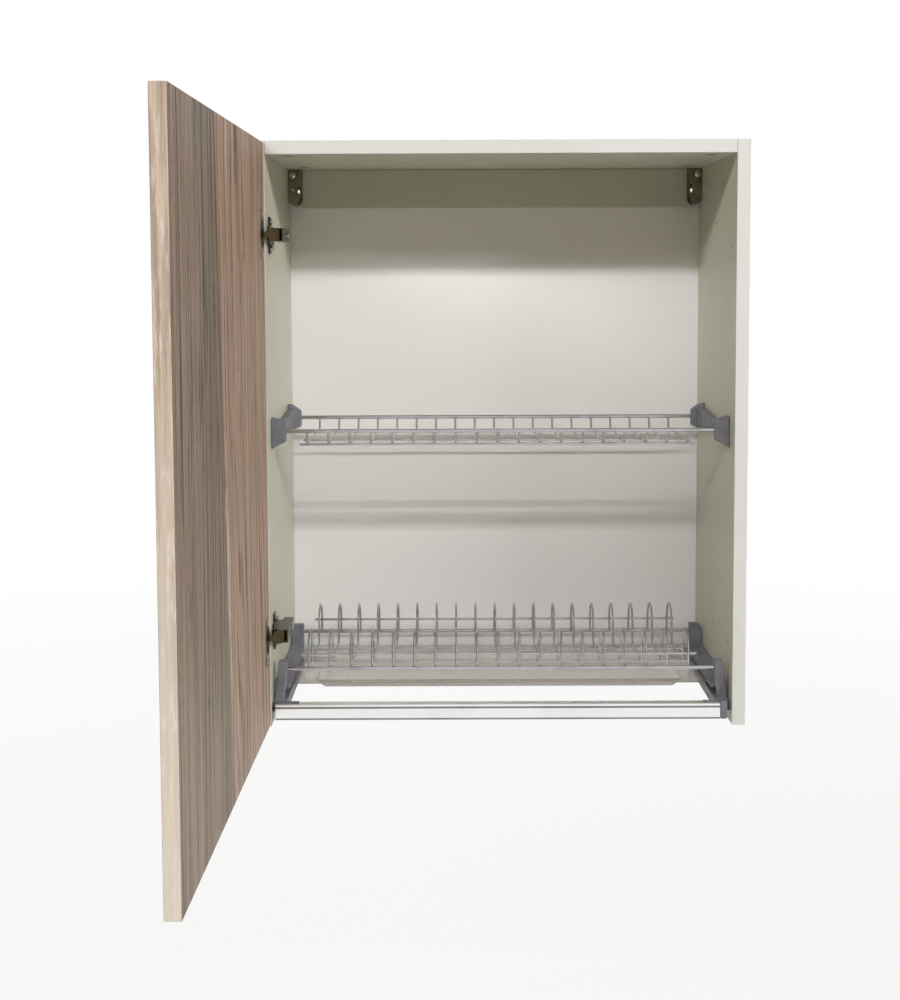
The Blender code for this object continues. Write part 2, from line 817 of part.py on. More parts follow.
def cup_mesh():
    """The cup and its flange, about the pin's axis: X from the door's edge, Y out of its face."""
    centre = Vector((CUP_FROM_EDGE - PIVOT_FROM_EDGE, PIVOT_FROM_FACE, 0))
    outer = CUP_BORE_RADIUS - HOLE_SLIP
    depth = CUP_BORE_DEPTH - SEAT
    cup = turned(
        "cup",
        (
            (0, CUP_FLOOR - depth),
            (outer - CUP_WALL, CUP_FLOOR - depth),
            (outer - CUP_WALL, FLANGE_THICKNESS),
            (FLANGE_RADIUS, FLANGE_THICKNESS),
            (FLANGE_RADIUS, SEAT),
            (outer, SEAT),
            (outer, -depth),
            (0, -depth),
        ),
        centre,
        (0, 1, 0),
        CUP_ROUND,
    )
    start, end = PIVOT_FROM_FACE + SEAT, PIVOT_FROM_FACE + FLANGE_THICKNESS
    bar_x = centre.x + CUP_SCREW_OFFSET
    bar = []
    arc = FLANGE_HALF_HEIGHT - FLANGE_BAR_RADIUS
    for way in (1, -1):
        for step in range(ARC_STEPS + 1):
            turn = math.pi * step / ARC_STEPS
            bar.append(
                (
                    bar_x + way * FLANGE_BAR_RADIUS * math.cos(turn),
                    way * (arc + FLANGE_BAR_RADIUS * math.sin(turn)),
                )
            )
    plate = prism("flange", bar, "Y", start, end)
    inner = outer - CUP_WALL
    opening = cylinders(
        "opening",
        inner,
        (centre + Vector((0, CUP_FLOOR - depth, 0)), centre + Vector((0, OVERRUN, 0))),
        sides=CUP_ROUND,
    )
    cheek_end = NOSE_HALF_HEIGHT + HOLE_SLIP
    cheek_x = centre.x - inner + CHEEK_DROP
    cheeks = blocks(
        "cheeks",
        *(
            (
                (cheek_x - CHEEK_LENGTH, PIVOT_FROM_FACE - CHEEK_DROP, way * cheek_end),
                (
                    cheek_x,
                    PIVOT_FROM_FACE - depth + CUP_FLOOR / 2,
                    way * (cheek_end + CHEEK_THICKNESS),
                ),
            )
            for way in (-1, 1)
        ),
    )
    within_wall = cylinders(
        "within_wall",
        outer - CUP_WALL / 2,
        (centre + Vector((0, -CUP_BORE_DEPTH - OVERRUN, 0)), centre + Vector((0, OVERRUN, 0))),
        sides=CUP_ROUND,
    )
    combine(cheeks, within_wall, "INTERSECT")
    cheeks = helper("rounded_cheeks", read_mesh(cheeks))
    bpy.data.objects.remove(within_wall, do_unlink=True)
    notch = blocks(
        "notch",
        (
            (
                centre.x - CUP_BORE_RADIUS - OVERRUN,
                -NOTCH_DEPTH,
                -cheek_end,
            ),
            (
                cheek_x + OVERRUN,
                PIVOT_FROM_FACE + FLANGE_THICKNESS + OVERRUN,
                cheek_end,
            ),
        ),
    )
    pin_hole = cylinders(
        "pin_hole",
        PIN_RADIUS + PIN_SLIP,
        ((0, 0, -PIN_HALF_LENGTH - HOLE_SLIP), (0, 0, PIN_HALF_LENGTH + HOLE_SLIP)),
    )
    holes = cylinders(
        "flange_holes",
        CUP_SCREW[2] + HOLE_SLIP,
        *(
            (
                (bar_x, start - OVERRUN, way * CUP_SCREW_SPACING / 2),
                (bar_x, end + OVERRUN, way * CUP_SCREW_SPACING / 2),
            )
            for way in (-1, 1)
        ),
        sides=SMALL_ROUND,
    )
    rim = merged(plate, cuts=(opening,))
    return merged(
        cup, joins=(helper("rim", rim), cheeks), cuts=(notch, pin_hole, holes), smooth=True
    )


def neck_path(first, last):
    """Points of the bent neck between two of its knees, in plan about the pin's axis."""
    shares = ((0, 0), (0.30, 0.02), (0.45, 0.18), (0.58, 0.31), (0.80, 0.68), (1, 1))
    return [
        (across * NECK_REACH, back * NECK_DEPTH) for across, back in shares[first : last + 1]
    ]


def arm_mesh():
    """The bent neck with the pin's eye, and the channel that covers the plate's spine."""
    nose = strip("nose", neck_path(0, 3), STRAP, NOSE_HALF_HEIGHT)
    neck = strip("neck", neck_path(2, 5), STRAP, ARM_HALF_HEIGHT)
    eye = cylinders("eye", EYE_RADIUS, ((0, 0, -NOSE_HALF_HEIGHT), (0, 0, NOSE_HALF_HEIGHT)))
    axis = hinge_axis(0)
    to_front = FRONT - axis.y
    face = NECK_REACH + STRAP / 2
    channel = blocks(
        "channel",
        (
            (face - ARM_DEPTH, to_front + ARM_FRONT, -ARM_HALF_HEIGHT),
            (face, to_front + ARM_END, ARM_HALF_HEIGHT),
        ),
    )
    hollow = blocks(
        "hollow",
        (
            (
                face - ARM_DEPTH - OVERRUN,
                to_front + ARM_FRONT - OVERRUN,
                ARM_WALL - ARM_HALF_HEIGHT,
            ),
            (face - ARM_WALL, to_front + ARM_END - ARM_WALL, ARM_HALF_HEIGHT - ARM_WALL),
        ),
    )
    hollowed = helper("arm_channel", merged(channel, cuts=(hollow,)))
    bore = cylinders(
        "pin_bore",
        PIN_RADIUS + PIN_SLIP,
        ((0, 0, -ARM_HALF_HEIGHT), (0, 0, ARM_HALF_HEIGHT)),
    )
    screw_y = to_front + ARM_SCREW_DEPTH
    screw_hole = cylinders(
        "arm_screw_hole",
        ARM_SCREW[2] + HOLE_SLIP,
        ((face - ARM_WALL - OVERRUN, screw_y, 0), (face + OVERRUN, screw_y, 0)),
        sides=SMALL_ROUND,
    )
    return merged(hollowed, joins=(neck, nose, eye), cuts=(bore, screw_hole))


def plate_mesh():
    """The mounting plate: a base with two wings and a spine, about the hinge's middle height."""
    spine_half = ARM_HALF_HEIGHT - ARM_WALL - SEAT
    spine_top = -DOOR_WIDTH / 2 + PIVOT_FROM_EDGE + NECK_REACH + STRAP / 2 - ARM_WALL - SEAT
    wall = -WALL_FACE
    base = blocks(
        "base",
        (
            (wall, FRONT + PLATE_FRONT, -WING_HALF_HEIGHT / 2),
            (wall + PLATE_BASE, FRONT + PLATE_END, WING_HALF_HEIGHT / 2),
        ),
    )
    wings = blocks(
        "wings",
        (
            (wall, FRONT + HOLE_LINE - WING_HALF_WIDTH, -WING_HALF_HEIGHT),
            (wall + PLATE_BASE, FRONT + HOLE_LINE + WING_HALF_WIDTH, WING_HALF_HEIGHT),
        ),
    )
    spine = blocks(
        "spine",
        (
            (wall, FRONT + SPINE_FRONT, -spine_half),
            (spine_top, FRONT + PLATE_END, spine_half),
        ),
    )
    radius, _ = shank_hole(PLATE_SCREW)
    plate_holes = cylinders(
        "plate_holes",
        radius,
        *(
            (
                (wall - OVERRUN, FRONT + HOLE_LINE, way * HOLE_STEP / 2),
                (wall + PLATE_BASE + OVERRUN, FRONT + HOLE_LINE, way * HOLE_STEP / 2),
            )
            for way in (-1, 1)
        ),
        sides=SMALL_ROUND,
    )
    radius, depth = shank_hole(ARM_SCREW)
    arm_hole = cylinders(
        "arm_hole",
        radius,
        (
            (spine_top + OVERRUN, FRONT + ARM_SCREW_DEPTH, 0),
            (spine_top + ARM_WALL + SEAT - depth, FRONT + ARM_SCREW_DEPTH, 0),
        ),
        sides=SMALL_ROUND,
    )
    return merged(base, joins=(wings, spine), cuts=(plate_holes, arm_hole))


def build_hinges(steel, pivot):
    """Both hinges: the cup rides the door, and the arm, plate and pin stay with the side."""
    cup, arm, plate = cup_mesh(), arm_mesh(), plate_mesh()
    cup_screw = screw_mesh("cup_screw", CUP_SCREW)
    plate_screw = screw_mesh("plate_screw", PLATE_SCREW)
    arm_screw = screw_mesh("arm_screw", ARM_SCREW)
    face = hinge_axis(0).x + NECK_REACH + STRAP / 2
    for drop, name in zip(HINGE_DROPS, HINGE_NAMES):
        height = TOP - drop
        part(f"hinge_cup_{name}", cup, steel, (0, 0, height), pivot)
        part(f"hinge_arm_{name}", arm, steel, hinge_axis(drop))
        part(f"hinge_plate_{name}", plate, steel, (0, 0, height))
        pin = cylinders(
            "pin", PIN_RADIUS, ((0, 0, -PIN_HALF_LENGTH), (0, 0, PIN_HALF_LENGTH))
        )
        part(f"hinge_pin_{name}", merged(pin, smooth=True), steel, hinge_axis(drop))
        place_screw(
            f"arm_screw_{name}",
            arm_screw,
            steel,
            (face, FRONT + ARM_SCREW_DEPTH, height),
            (1, 0, 0),
        )
        for way, row in ((-1, "top"), (1, "bottom")):
            place_screw(
                f"cup_screw_{name}_{row}",
                cup_screw,
                steel,
                in_door(
                    CUP_FROM_EDGE + CUP_SCREW_OFFSET,
                    -FLANGE_THICKNESS,
                    drop + way * CUP_SCREW_SPACING / 2,
                ),
                (0, 1, 0),
                pivot,
            )
            place_screw(
                f"plate_screw_{name}_{row}",
                plate_screw,
                steel,
                inside(PLATE_BASE - WALL_FACE, HOLE_LINE, drop + way * HOLE_STEP / 2),
                (1, 0, 0),
            )


def build_door(pine, pivot):
    """The door panel, about the hinge pins' axis, with the bores for both cups."""
    top_gap = (CABINET_HEIGHT - DOOR_HEIGHT) / 2
    panel = board(
        "door_panel",
        in_door(0, 0, top_gap),
        in_door(DOOR_WIDTH, DOOR_THICKNESS, top_gap + DOOR_HEIGHT),
        pine,
        pivot,
    )
    bores = cylinders(
        "cup_bores",
        CUP_BORE_RADIUS,
        *(
            (in_door(CUP_FROM_EDGE, -OVERRUN, drop), in_door(CUP_FROM_EDGE, CUP_BORE_DEPTH, drop))
            for drop in HINGE_DROPS
        ),
        sides=CUP_ROUND,
    )
    radius, length = shank_hole(CUP_SCREW)
    along = CUP_FROM_EDGE + CUP_SCREW_OFFSET
    pilots = cylinders(
        "cup_pilots",
        radius,
        *(
            (
                in_door(along, -OVERRUN, drop + way * CUP_SCREW_SPACING / 2),
                in_door(along, length - FLANGE_THICKNESS, drop + way * CUP_SCREW_SPACING / 2),
            )
            for drop in HINGE_DROPS
            for way in (-1, 1)
        ),
        sides=SMALL_ROUND,
    )
    for tool in (bores, pilots):
        tool.parent = pivot
        combine(panel, tool, "DIFFERENCE")


def socket(side, depth, drop, reach):
    """The open-topped slot that a rod's end drops into, as a block with a round foot."""
    half = ROD_RADIUS + HOLE_SLIP
    inner = side * (WALL_FACE - POD_REACH - OVERRUN)
    outer = side * (WALL_FACE - POD_REACH + reach)
    slot = blocks(
        "slot",
        (
            inside(inner, depth - half, drop),
            inside(outer, depth + half, drop - UPPER_POD_RISE - OVERRUN),
        ),
    )
    foot = cylinders(
        "slot_foot", half, (inside(inner, depth, drop), inside(outer, depth, drop)), sides=12
    )
    return slot, foot


def screw_cut(side, face, depths, drop):
    """The holes and head recesses for a bracket's screws, from its inner face."""
    radius, _ = shank_hole(BRACKET_SCREW)
    seat = WALL_FACE - MOULDING_WALL
    shanks = cylinders(
        "screw_holes",
        radius,
        *(
            (inside(side * (seat - SLIP), depth, drop), inside(side * (INNER + SLIP), depth, drop))
            for depth in depths
        ),
        sides=SMALL_ROUND,
    )
    heads = cylinders(
        "screw_recesses",
        BRACKET_SCREW[0] + SLIP,
        *(
            (inside(side * (face - OVERRUN), depth, drop), inside(side * seat, depth, drop))
            for depth in depths
        ),
        sides=SMALL_ROUND,
    )
    return shanks, heads


def build_upper_brackets(plastic, steel):
    """One moulding a side: two pods with the rods' sockets, and the saddle bar between them."""
    rod = TOP - CUP_ROD_DROP
    screw = screw_mesh("bracket_screw", BRACKET_SCREW)
    half_front = UPPER_FRONT_POD_LENGTH / 2
    half_rear = UPPER_REAR_POD_LENGTH / 2
    for side, name in SIDES:
        wall = side * WALL_FACE
        pod_wall = side * (WALL_FACE - POD_WALL_SLIP)
        tip = side * (WALL_FACE - POD_REACH)
        front_pod = prism(
            "front_pod",
            (
                (pod_wall, rod + UPPER_POD_RISE),
                (tip, rod + UPPER_POD_RISE_INNER),
                (tip, rod - UPPER_POD_FALL_INNER),
                (pod_wall, rod - UPPER_POD_FALL),
            ),
            "Y",
            FRONT + CUP_FRONT_DEPTH - half_front,
            FRONT + CUP_FRONT_DEPTH + half_front,
        )
        shoulder = side * (WALL_FACE - POD_REACH * SHOULDER_SHARE)
        chin = side * (WALL_FACE - POD_REACH * CHIN_SHARE)
        rear_pod = prism(
            "rear_pod",
            (
                (pod_wall, rod + UPPER_POD_RISE),
                (shoulder, rod + UPPER_POD_RISE),
                (tip, rod + UPPER_POD_RISE / 2),
                (tip, rod - UPPER_POD_FALL_INNER),
                (chin, rod - UPPER_POD_RISE + SADDLE_DIP),
                (pod_wall, rod - UPPER_POD_RISE + SADDLE_DIP),
            ),
            "Y",
            FRONT + CUP_REAR_DEPTH - half_rear,
            FRONT + CUP_REAR_DEPTH + half_rear,
        )
        start = CUP_FRONT_DEPTH
        run = CUP_REAR_DEPTH - CUP_FRONT_DEPTH
        low_top = SADDLE_TOP_RISE - SADDLE_DIP
        top_line = [
            (FRONT + start + along * run, rod + low_top + lift * SADDLE_DIP)
            for along, lift in SADDLE_TOP_SHARES
        ]
        foot_line = [
            (FRONT + start + along * run, rod - fall * SADDLE_BOTTOM_FALL)
            for along, fall in SADDLE_FOOT_SHARES
        ]
        saddle = prism(
            "saddle",
            top_line + foot_line,
            "X",
            wall,
            side * (WALL_FACE - SADDLE_REACH),
        )
        cuts = (
            *socket(side, CUP_FRONT_DEPTH, CUP_ROD_DROP, SOCKET_REACH),
            *socket(side, CUP_REAR_DEPTH, CUP_ROD_DROP, SOCKET_REACH),
            *screw_cut(
                side, WALL_FACE - SADDLE_REACH, bracket_screw_depths(), upper_screw_drop()
            ),
        )
        mesh = merged(saddle, joins=(front_pod, rear_pod), cuts=cuts)
        own_part(f"upper_bracket_{name}", mesh, plastic)
        for depth, row in zip(bracket_screw_depths(), ("front", "rear")):
            place_screw(
                f"upper_bracket_screw_{name}_{row}",
                screw,
                steel,
                inside(side * (WALL_FACE - MOULDING_WALL), depth, upper_screw_drop()),
                (-side, 0, 0),
            )


def build_lower_brackets(plastic, steel):
    """One moulding a side: a base rail with the tray's groove over it, a sloped arm and two pods."""
    screw = screw_mesh("bracket_screw", BRACKET_SCREW)
    rod = TOP - PLATE_ROD_DROP
    for side, name in SIDES:
        wall = WALL_FACE
        web = wall - ARM_THICKNESS
        tip = wall - POD_REACH
        ledge_tip = wall - LEDGE_REACH
        rail = (
            (wall, ARM_WALL_DROP),
            (tip, ARM_INNER_DROP),
            (tip, ARM_INNER_DROP + ARM_THICKNESS),
            (web, LEDGE_DROP - 2 * ARM_THICKNESS),
            (web, LEDGE_DROP),
            (ledge_tip, LEDGE_DROP),
            (ledge_tip, RAIL_FOOT_DROP),
            (ledge_tip + MOULDING_WALL, RAIL_FOOT_DROP),
            (ledge_tip + MOULDING_WALL, LEDGE_DROP + MOULDING_WALL),
            (wall - MOULDING_WALL, LEDGE_DROP + MOULDING_WALL),
            (wall - MOULDING_WALL, RAIL_FOOT_DROP),
            (wall, RAIL_FOOT_DROP),
        )
        channel = prism(
            "rail",
            [(side * x, TOP - drop) for x, drop in rail],
            "Y",
            FRONT + BASE_RAIL_FRONT,
            FRONT + SIDE_DEPTH - BASE_RAIL_FRONT,
        )
        clear = ledge_tip - OVERRUN
        ends = blocks(
            "arm_ends",
            *(
                (
                    inside(side * clear, first, ARM_WALL_DROP - OVERRUN),
                    inside(side * (wall + OVERRUN), last, LEDGE_DROP),
                )
                for first, last in (
                    (BASE_RAIL_FRONT - OVERRUN, ARM_START),
                    (ARM_STOP, SIDE_DEPTH - BASE_RAIL_FRONT + OVERRUN),
                )
            ),
        )
        trimmed = helper("trimmed", merged(channel, cuts=(ends,)))
        lean = LOWER_POD_LEAN
        crest = rod + LOWER_POD_RISE
        seat = TOP - LEDGE_DROP - MOULDING_WALL / 2
        half = LOWER_FRONT_POD_LENGTH / 2
        front_pod = prism(
            "front_pod",
            (
                (side * tip, crest),
                (side * (tip + lean), seat),
                (side * (tip + lean + LOWER_POD_WIDTH), seat),
                (side * (tip + LOWER_POD_WIDTH), crest),
            ),
            "Y",
            FRONT + PLATE_FRONT_DEPTH - half,
            FRONT + PLATE_FRONT_DEPTH + half,
        )
        half = LOWER_REAR_POD_LENGTH / 2
        rear_pod = prism(
            "rear_pod",
            (
                (side * (tip + SEAT), crest),
                (side * (tip + SEAT), TOP - ARM_INNER_DROP - ARM_THICKNESS / 2),
                (side * (wall - MOULDING_WALL), TOP - ARM_INNER_DROP + ARM_THICKNESS),
                (side * (wall - MOULDING_WALL), crest - LOWER_POD_RISE / 2),
                (side * (wall - MOULDING_WALL - SLOT_WIDTH), crest),
            ),
            "Y",
            FRONT + PLATE_REAR_DEPTH - half,
            FRONT + PLATE_REAR_DEPTH + half,
        )
        reach = SOCKET_REACH - MOULDING_WALL
        cuts = (
            *socket(side, PLATE_FRONT_DEPTH, PLATE_ROD_DROP, reach),
            *socket(side, PLATE_REAR_DEPTH, PLATE_ROD_DROP, reach),
            *screw_cut(side, ledge_tip, bracket_screw_depths(), lower_screw_drop()),
        )
        mesh = merged(trimmed, joins=(front_pod, rear_pod), cuts=cuts)
        own_part(f"lower_bracket_{name}", mesh, plastic)
        for depth, row in zip(bracket_screw_depths(), ("front", "rear")):
            place_screw(
                f"lower_bracket_screw_{name}_{row}",
                screw,
                steel,
                inside(side * (wall - MOULDING_WALL), depth, lower_screw_drop()),
                (-side, 0, 0),
            )


def profile_outline():
    """The aluminium profile's section, as (setback, drop) from its face and its top."""
    back = PROFILE_DEPTH
    inner = GROOVE_DEPTH + PROFILE_WALL
    foot = PROFILE_HEIGHT
    return (
        (back, 0),
        (PROFILE_CHAMFER, 0),
        (0, PROFILE_CHAMFER),
        (0, GROOVE_DROP),
        (GROOVE_DEPTH, GROOVE_DROP),
        (GROOVE_DEPTH, GROOVE_DROP + GROOVE_HEIGHT),
        (0, GROOVE_DROP + GROOVE_HEIGHT),
        (0, foot - PROFILE_CHAMFER),
        (PROFILE_CHAMFER, foot),
        (back, foot),
        (back, foot - PROFILE_WALL),
        (inner, foot - PROFILE_WALL),
        (inner, PROFILE_WALL),
        (back, PROFILE_WALL),
    )


def profile_ends():
    """The right end of the front profile, and how far the corners reach."""
    reach = WALL_FACE - CORNER_WALL_GAP
    return reach - CORNER_CAP, reach


def build_profiles(aluminium, plastic):
    """Front and rear profiles, and the four corners that join them to the brackets."""
    right_end, reach = profile_ends()
    front_face = PROFILE_FACE_SETBACK
    rear_face = SIDE_DEPTH - SEAT
    for name, face, way, right in (
        ("front", front_face, 1, right_end),
        ("rear", rear_face, -1, PROFILE_END),
    ):
        outline = [
            (FRONT + face + way * setback, TOP - PROFILE_DROP - drop)
            for setback, drop in profile_outline()
        ]
        bar = prism(f"{name}_bar", outline, "X", -PROFILE_END, right)
        own_part(f"{name}_profile", merged(bar), aluminium)

    top = PROFILE_DROP + PROFILE_WALL + SEAT
    foot = PROFILE_DROP + PROFILE_HEIGHT - PROFILE_WALL - SEAT
    inner = GROOVE_DEPTH + PROFILE_WALL + SEAT
    plug_top = LEDGE_DROP + MOULDING_WALL + SEAT
    plug_inner = WALL_FACE - LEDGE_REACH + MOULDING_WALL + SEAT
    plug_outer = WALL_FACE - MOULDING_WALL - SEAT
    for side, side_name in SIDES:
        for name, face, way in (("front", front_face, 1), ("rear", rear_face, -1)):
            shown = side > 0 and way > 0
            end = reach if shown else PROFILE_END
            tongue = blocks(
                "tongue",
                (
                    inside(side * (end - CORNER_TONGUE - CORNER_CAP), face + way * inner, top),
                    inside(side * end, face + way * (PROFILE_DEPTH + SEAT), foot),
                ),
            )
            plug = blocks(
                "plug",
                (
                    inside(side * plug_inner, face + way * PROFILE_DEPTH, plug_top),
                    inside(
                        side * plug_outer,
                        face + way * (PROFILE_DEPTH + CORNER_PLUG),
                        RAIL_FOOT_DROP,
                    ),
                ),
            )
            joins = [plug]
            if shown:
                cap = blocks(
                    "cap",
                    (
                        inside(right_end + SEAT, face, PROFILE_DROP),
                        inside(reach, face + PROFILE_DEPTH, PROFILE_DROP + PROFILE_HEIGHT),
                    ),
                )
                round_off = cap.modifiers.new("rounded", "BEVEL")
                round_off.width = PROFILE_CHAMFER
                round_off.segments = 2
                joins.append(helper("rounded_cap", read_mesh(cap)))
            own_part(f"corner_{name}_{side_name}", merged(tongue, joins=joins), plastic)


def build_tray(clear):
    """The drip tray: a shallow pan with sloped walls in a wide flat rim, as one even sheet."""
    half = WALL_FACE - ARM_THICKNESS - TRAY_SIDE_SLIP
    middle = FRONT + TRAY_FRONT_DEPTH + TRAY_LENGTH / 2
    level = TOP - LEDGE_DROP + SEAT
    rings = (
        (half, TRAY_LENGTH / 2, 0),
        (half - TRAY_RIM_WIDTH, TRAY_LENGTH / 2 - TRAY_END_RIM, 0),
        (
            half - TRAY_RIM_WIDTH - TRAY_SLOPE,
            TRAY_LENGTH / 2 - TRAY_END_RIM - TRAY_SLOPE,
            -TRAY_DEPTH,
        ),
    )
    bm = bmesh.new()
    corners = ((-1, -1), (1, -1), (1, 1), (-1, 1))
    loops = [
        [bm.verts.new((x * wide, y * deep, height)) for x, y in corners]
        for wide, deep, height in rings
    ]
    for outer, inner in zip(loops, loops[1:]):
        for turn in range(4):
            after = (turn + 1) % 4
            bm.faces.new((outer[turn], outer[after], inner[after], inner[turn]))
    bm.faces.new(loops[-1])
    tray = part("drip_tray", mesh_from(bm, "drip_tray"), clear, (0, middle, level))
    sheet = tray.modifiers.new("sheet", "SOLIDIFY")
    sheet.thickness = TRAY_SHEET
    sheet.offset = 1
    sheet.use_even_offset = True
    return tray


def wires(name, paths, radius, facets):
    """Wires with closed ends along lists of points."""
    curve = bpy.data.curves.new(name, "CURVE")
    curve.dimensions = "3D"
    curve.bevel_depth = radius
    curve.bevel_resolution = (facets - 4) // 2
    curve.use_fill_caps = True
    for path in paths:
        spline = curve.splines.new("POLY")
        spline.points.add(len(path) - 1)
        for point, place in zip(spline.points, path):
            point.co = (*place, 1)
    return helper(name, read_mesh(helper(name, curve)))


def facet_radius(radius, facets):
    """The corner radius that gives a faceted wire the round wire's area."""
    turn = 2 * math.pi / facets
    return radius * math.sqrt(turn / math.sin(turn))


def weld_distance():
    """How far a thin rod's middle is from a crossing wire's, with their flats sunk in each other."""
    wire = facet_radius(WIRE_RADIUS, WIRE_FACETS) * math.cos(math.pi / WIRE_FACETS)
    rod = THIN_ROD_RADIUS * math.cos(math.pi / THIN_FACETS)
    return wire + rod - WELD_SINK


def cross_places():
    """The X of each cross wire, the row centred on the racks' shift."""
    first = RACK_SHIFT - WIRE_PITCH * (CROSS_WIRES - 1) / 2
    return [first + WIRE_PITCH * step for step in range(CROSS_WIRES)]


def across(reach_left, reach_right, depth, drop):
    """A straight rod's two ends."""
    return [inside(-reach_left, depth, drop), inside(reach_right, depth, drop)]


def build_cup_rack(chrome):
    """Cross wires that sink from the front rod to a floor and rise to the rear rod."""
    floor = CUP_ROD_DROP + CUP_FLOOR_DROP
    front_wall = CUP_FRONT_DEPTH + ROD_RADIUS + CUP_SLANT
    rear_wall = CUP_REAR_DEPTH - ROD_RADIUS
    section = (
        (CUP_FRONT_DEPTH, CUP_ROD_DROP + WIRE_RADIUS),
        (front_wall, floor - CUP_CHAMFER),
        (front_wall + CUP_EASE, floor),
        (rear_wall - CUP_EASE, floor),
        (rear_wall, floor - CUP_CHAMFER),
        (CUP_REAR_DEPTH, CUP_ROD_DROP + WIRE_RADIUS),
    )
    paths = [[inside(x, depth, drop) for depth, drop in section] for x in cross_places()]
    cross = wires(
        "cup_cross_wires", paths, facet_radius(WIRE_RADIUS, WIRE_FACETS), WIRE_FACETS
    )
    end = WALL_FACE - POD_REACH + SOCKET_REACH - SEAT
    rods = wires(
        "cup_rods",
        [
            across(end, end, CUP_FRONT_DEPTH, CUP_ROD_DROP),
            across(end, end, CUP_REAR_DEPTH, CUP_ROD_DROP),
        ],
        ROD_RADIUS,
        ROD_FACETS,
    )
    row = cross_places()
    left = -row[0] + CUP_FLOOR_OVERHANG
    right = row[-1] + CUP_FLOOR_OVERHANG
    under = floor + weld_distance()
    floor_rods = wires(
        "cup_floor_rods",
        [
            across(left, right, front_wall + CUP_SLANT, under),
            across(left, right, CUP_FLOOR_ROD_DEPTH, under),
            across(left, right, rear_wall - CUP_SLANT, under),
        ],
        THIN_ROD_RADIUS,
        THIN_FACETS,
    )
    part("cup_rack", merged(cross, joins=(rods, floor_rods), smooth=True), chrome)


def arch(front, back, foot_drop, top_drop):
    """An inverted U in (depth, drop) pairs, from its front leg's foot to its rear leg's foot."""
    radius = (back - front) / 2
    spring = top_drop + radius
    points = [(front, foot_drop)]
    for step in range(ARC_STEPS + 1):
        turn = math.pi * step / ARC_STEPS
        points.append(
            (front + radius - radius * math.cos(turn), spring - radius * math.sin(turn))
        )
    points.append((back, foot_drop))
    return points


def bend(corner, radius, drop_first):
    """A quarter bend in (depth, drop) pairs between a leg and the floor, from its corner.

    The radius is negative where the bend opens towards the front.
    """
    centre = (corner[0] + radius, corner[1] - abs(radius))
    points = []
    for step in range(BEND_STEPS + 1):
        turn = math.pi / 2 * step / BEND_STEPS
        points.append(
            (centre[0] - radius * math.cos(turn), centre[1] + abs(radius) * math.sin(turn))
        )
    return points if drop_first else points[::-1]


def build_plate_rack(chrome):
    """Cross wires bent into an arch before and behind a sunk floor, on rods and rims."""
    floor = PLATE_ROD_DROP + PLATE_FLOOR_DROP
    top = PLATE_ROD_DROP - ARCH_TOP_RISE
    front_leg = PLATE_FRONT_DEPTH + ROD_RADIUS
    rear_leg = PLATE_REAR_DEPTH - ROD_RADIUS
    front_arch = arch(front_leg, front_leg + ARCH_WIDTH, PLATE_ROD_DROP, top)
    rear_arch = arch(rear_leg - ARCH_WIDTH, rear_leg, PLATE_ROD_DROP, top)
    section = (
        front_arch[:-1]
        + bend((front_leg + ARCH_WIDTH, floor), WIRE_BEND, True)
        + bend((rear_leg - ARCH_WIDTH, floor), -WIRE_BEND, False)
        + rear_arch[1:]
    )
    paths = [[inside(x, depth, drop) for depth, drop in section] for x in cross_places()]
    cross = wires(
        "plate_cross_wires", paths, facet_radius(WIRE_RADIUS, WIRE_FACETS), WIRE_FACETS
    )
    end = WALL_FACE - POD_REACH + SOCKET_REACH - MOULDING_WALL - SEAT
    rods = wires(
        "plate_rods",
        [
            across(end, end, PLATE_FRONT_DEPTH, PLATE_ROD_DROP),
            across(end, end, PLATE_REAR_DEPTH, PLATE_ROD_DROP),
        ],
        ROD_RADIUS,
        ROD_FACETS,
    )
    row = cross_places()
    left = -row[0] + RIM_OVERHANG
    right = row[-1] + RIM_OVERHANG
    beside = weld_distance()
    rim_drop = PLATE_ROD_DROP - RIM_ROD_RISE
    thin = wires(
        "plate_thin_rods",
        [
            across(left, right, front_leg + beside, rim_drop),
            across(left, right, rear_leg + beside, rim_drop),
            *(across(left, right, depth, floor + beside) for depth in FLOOR_ROD_DEPTHS),
        ],
        THIN_ROD_RADIUS,
        THIN_FACETS,
    )
    part("plate_rack", merged(cross, joins=(rods, thin), smooth=True), chrome)


def main():
    clear_scene()
    laminate = material("cream laminate", (0.70, 0.68, 0.60), 0.45)
    back_board = material("white board", (0.76, 0.74, 0.68), 0.5)
    pine = material("weathered pine", (0.24, 0.17, 0.12), 0.6)
    zinc = material("zinc plated steel", (0.55, 0.53, 0.50), 0.35, 1.0)
    nickel = material("nickel plated steel", (0.45, 0.42, 0.36), 0.3, 1.0)
    chrome = material("chromed wire", (0.75, 0.75, 0.76), 0.15, 1.0)
    aluminium = material("anodised aluminium", (0.72, 0.72, 0.73), 0.3, 1.0)
    plastic = material("grey plastic", (0.13, 0.13, 0.16), 0.5)
    clear = material("clear plastic", (0.80, 0.80, 0.78), 0.15, 0.0, 0.5)

    door_pivot = bpy.data.objects.new("door_pivot", None)
    door_pivot.location = hinge_axis(TOP)
    door_pivot.rotation_euler.z = -DOOR_OPEN
    PARTS.objects.link(door_pivot)

    build_carcass(laminate, back_board)
    build_cam_locks(zinc)
    build_hangers(zinc, nickel)
    build_door(pine, door_pivot)
    build_hinges(nickel, door_pivot)
    build_upper_brackets(plastic, zinc)
    build_lower_brackets(plastic, zinc)
    build_profiles(aluminium, plastic)
    build_tray(clear)
    build_cup_rack(chrome)
    build_plate_rack(chrome)
    bpy.context.view_layer.update()


main()
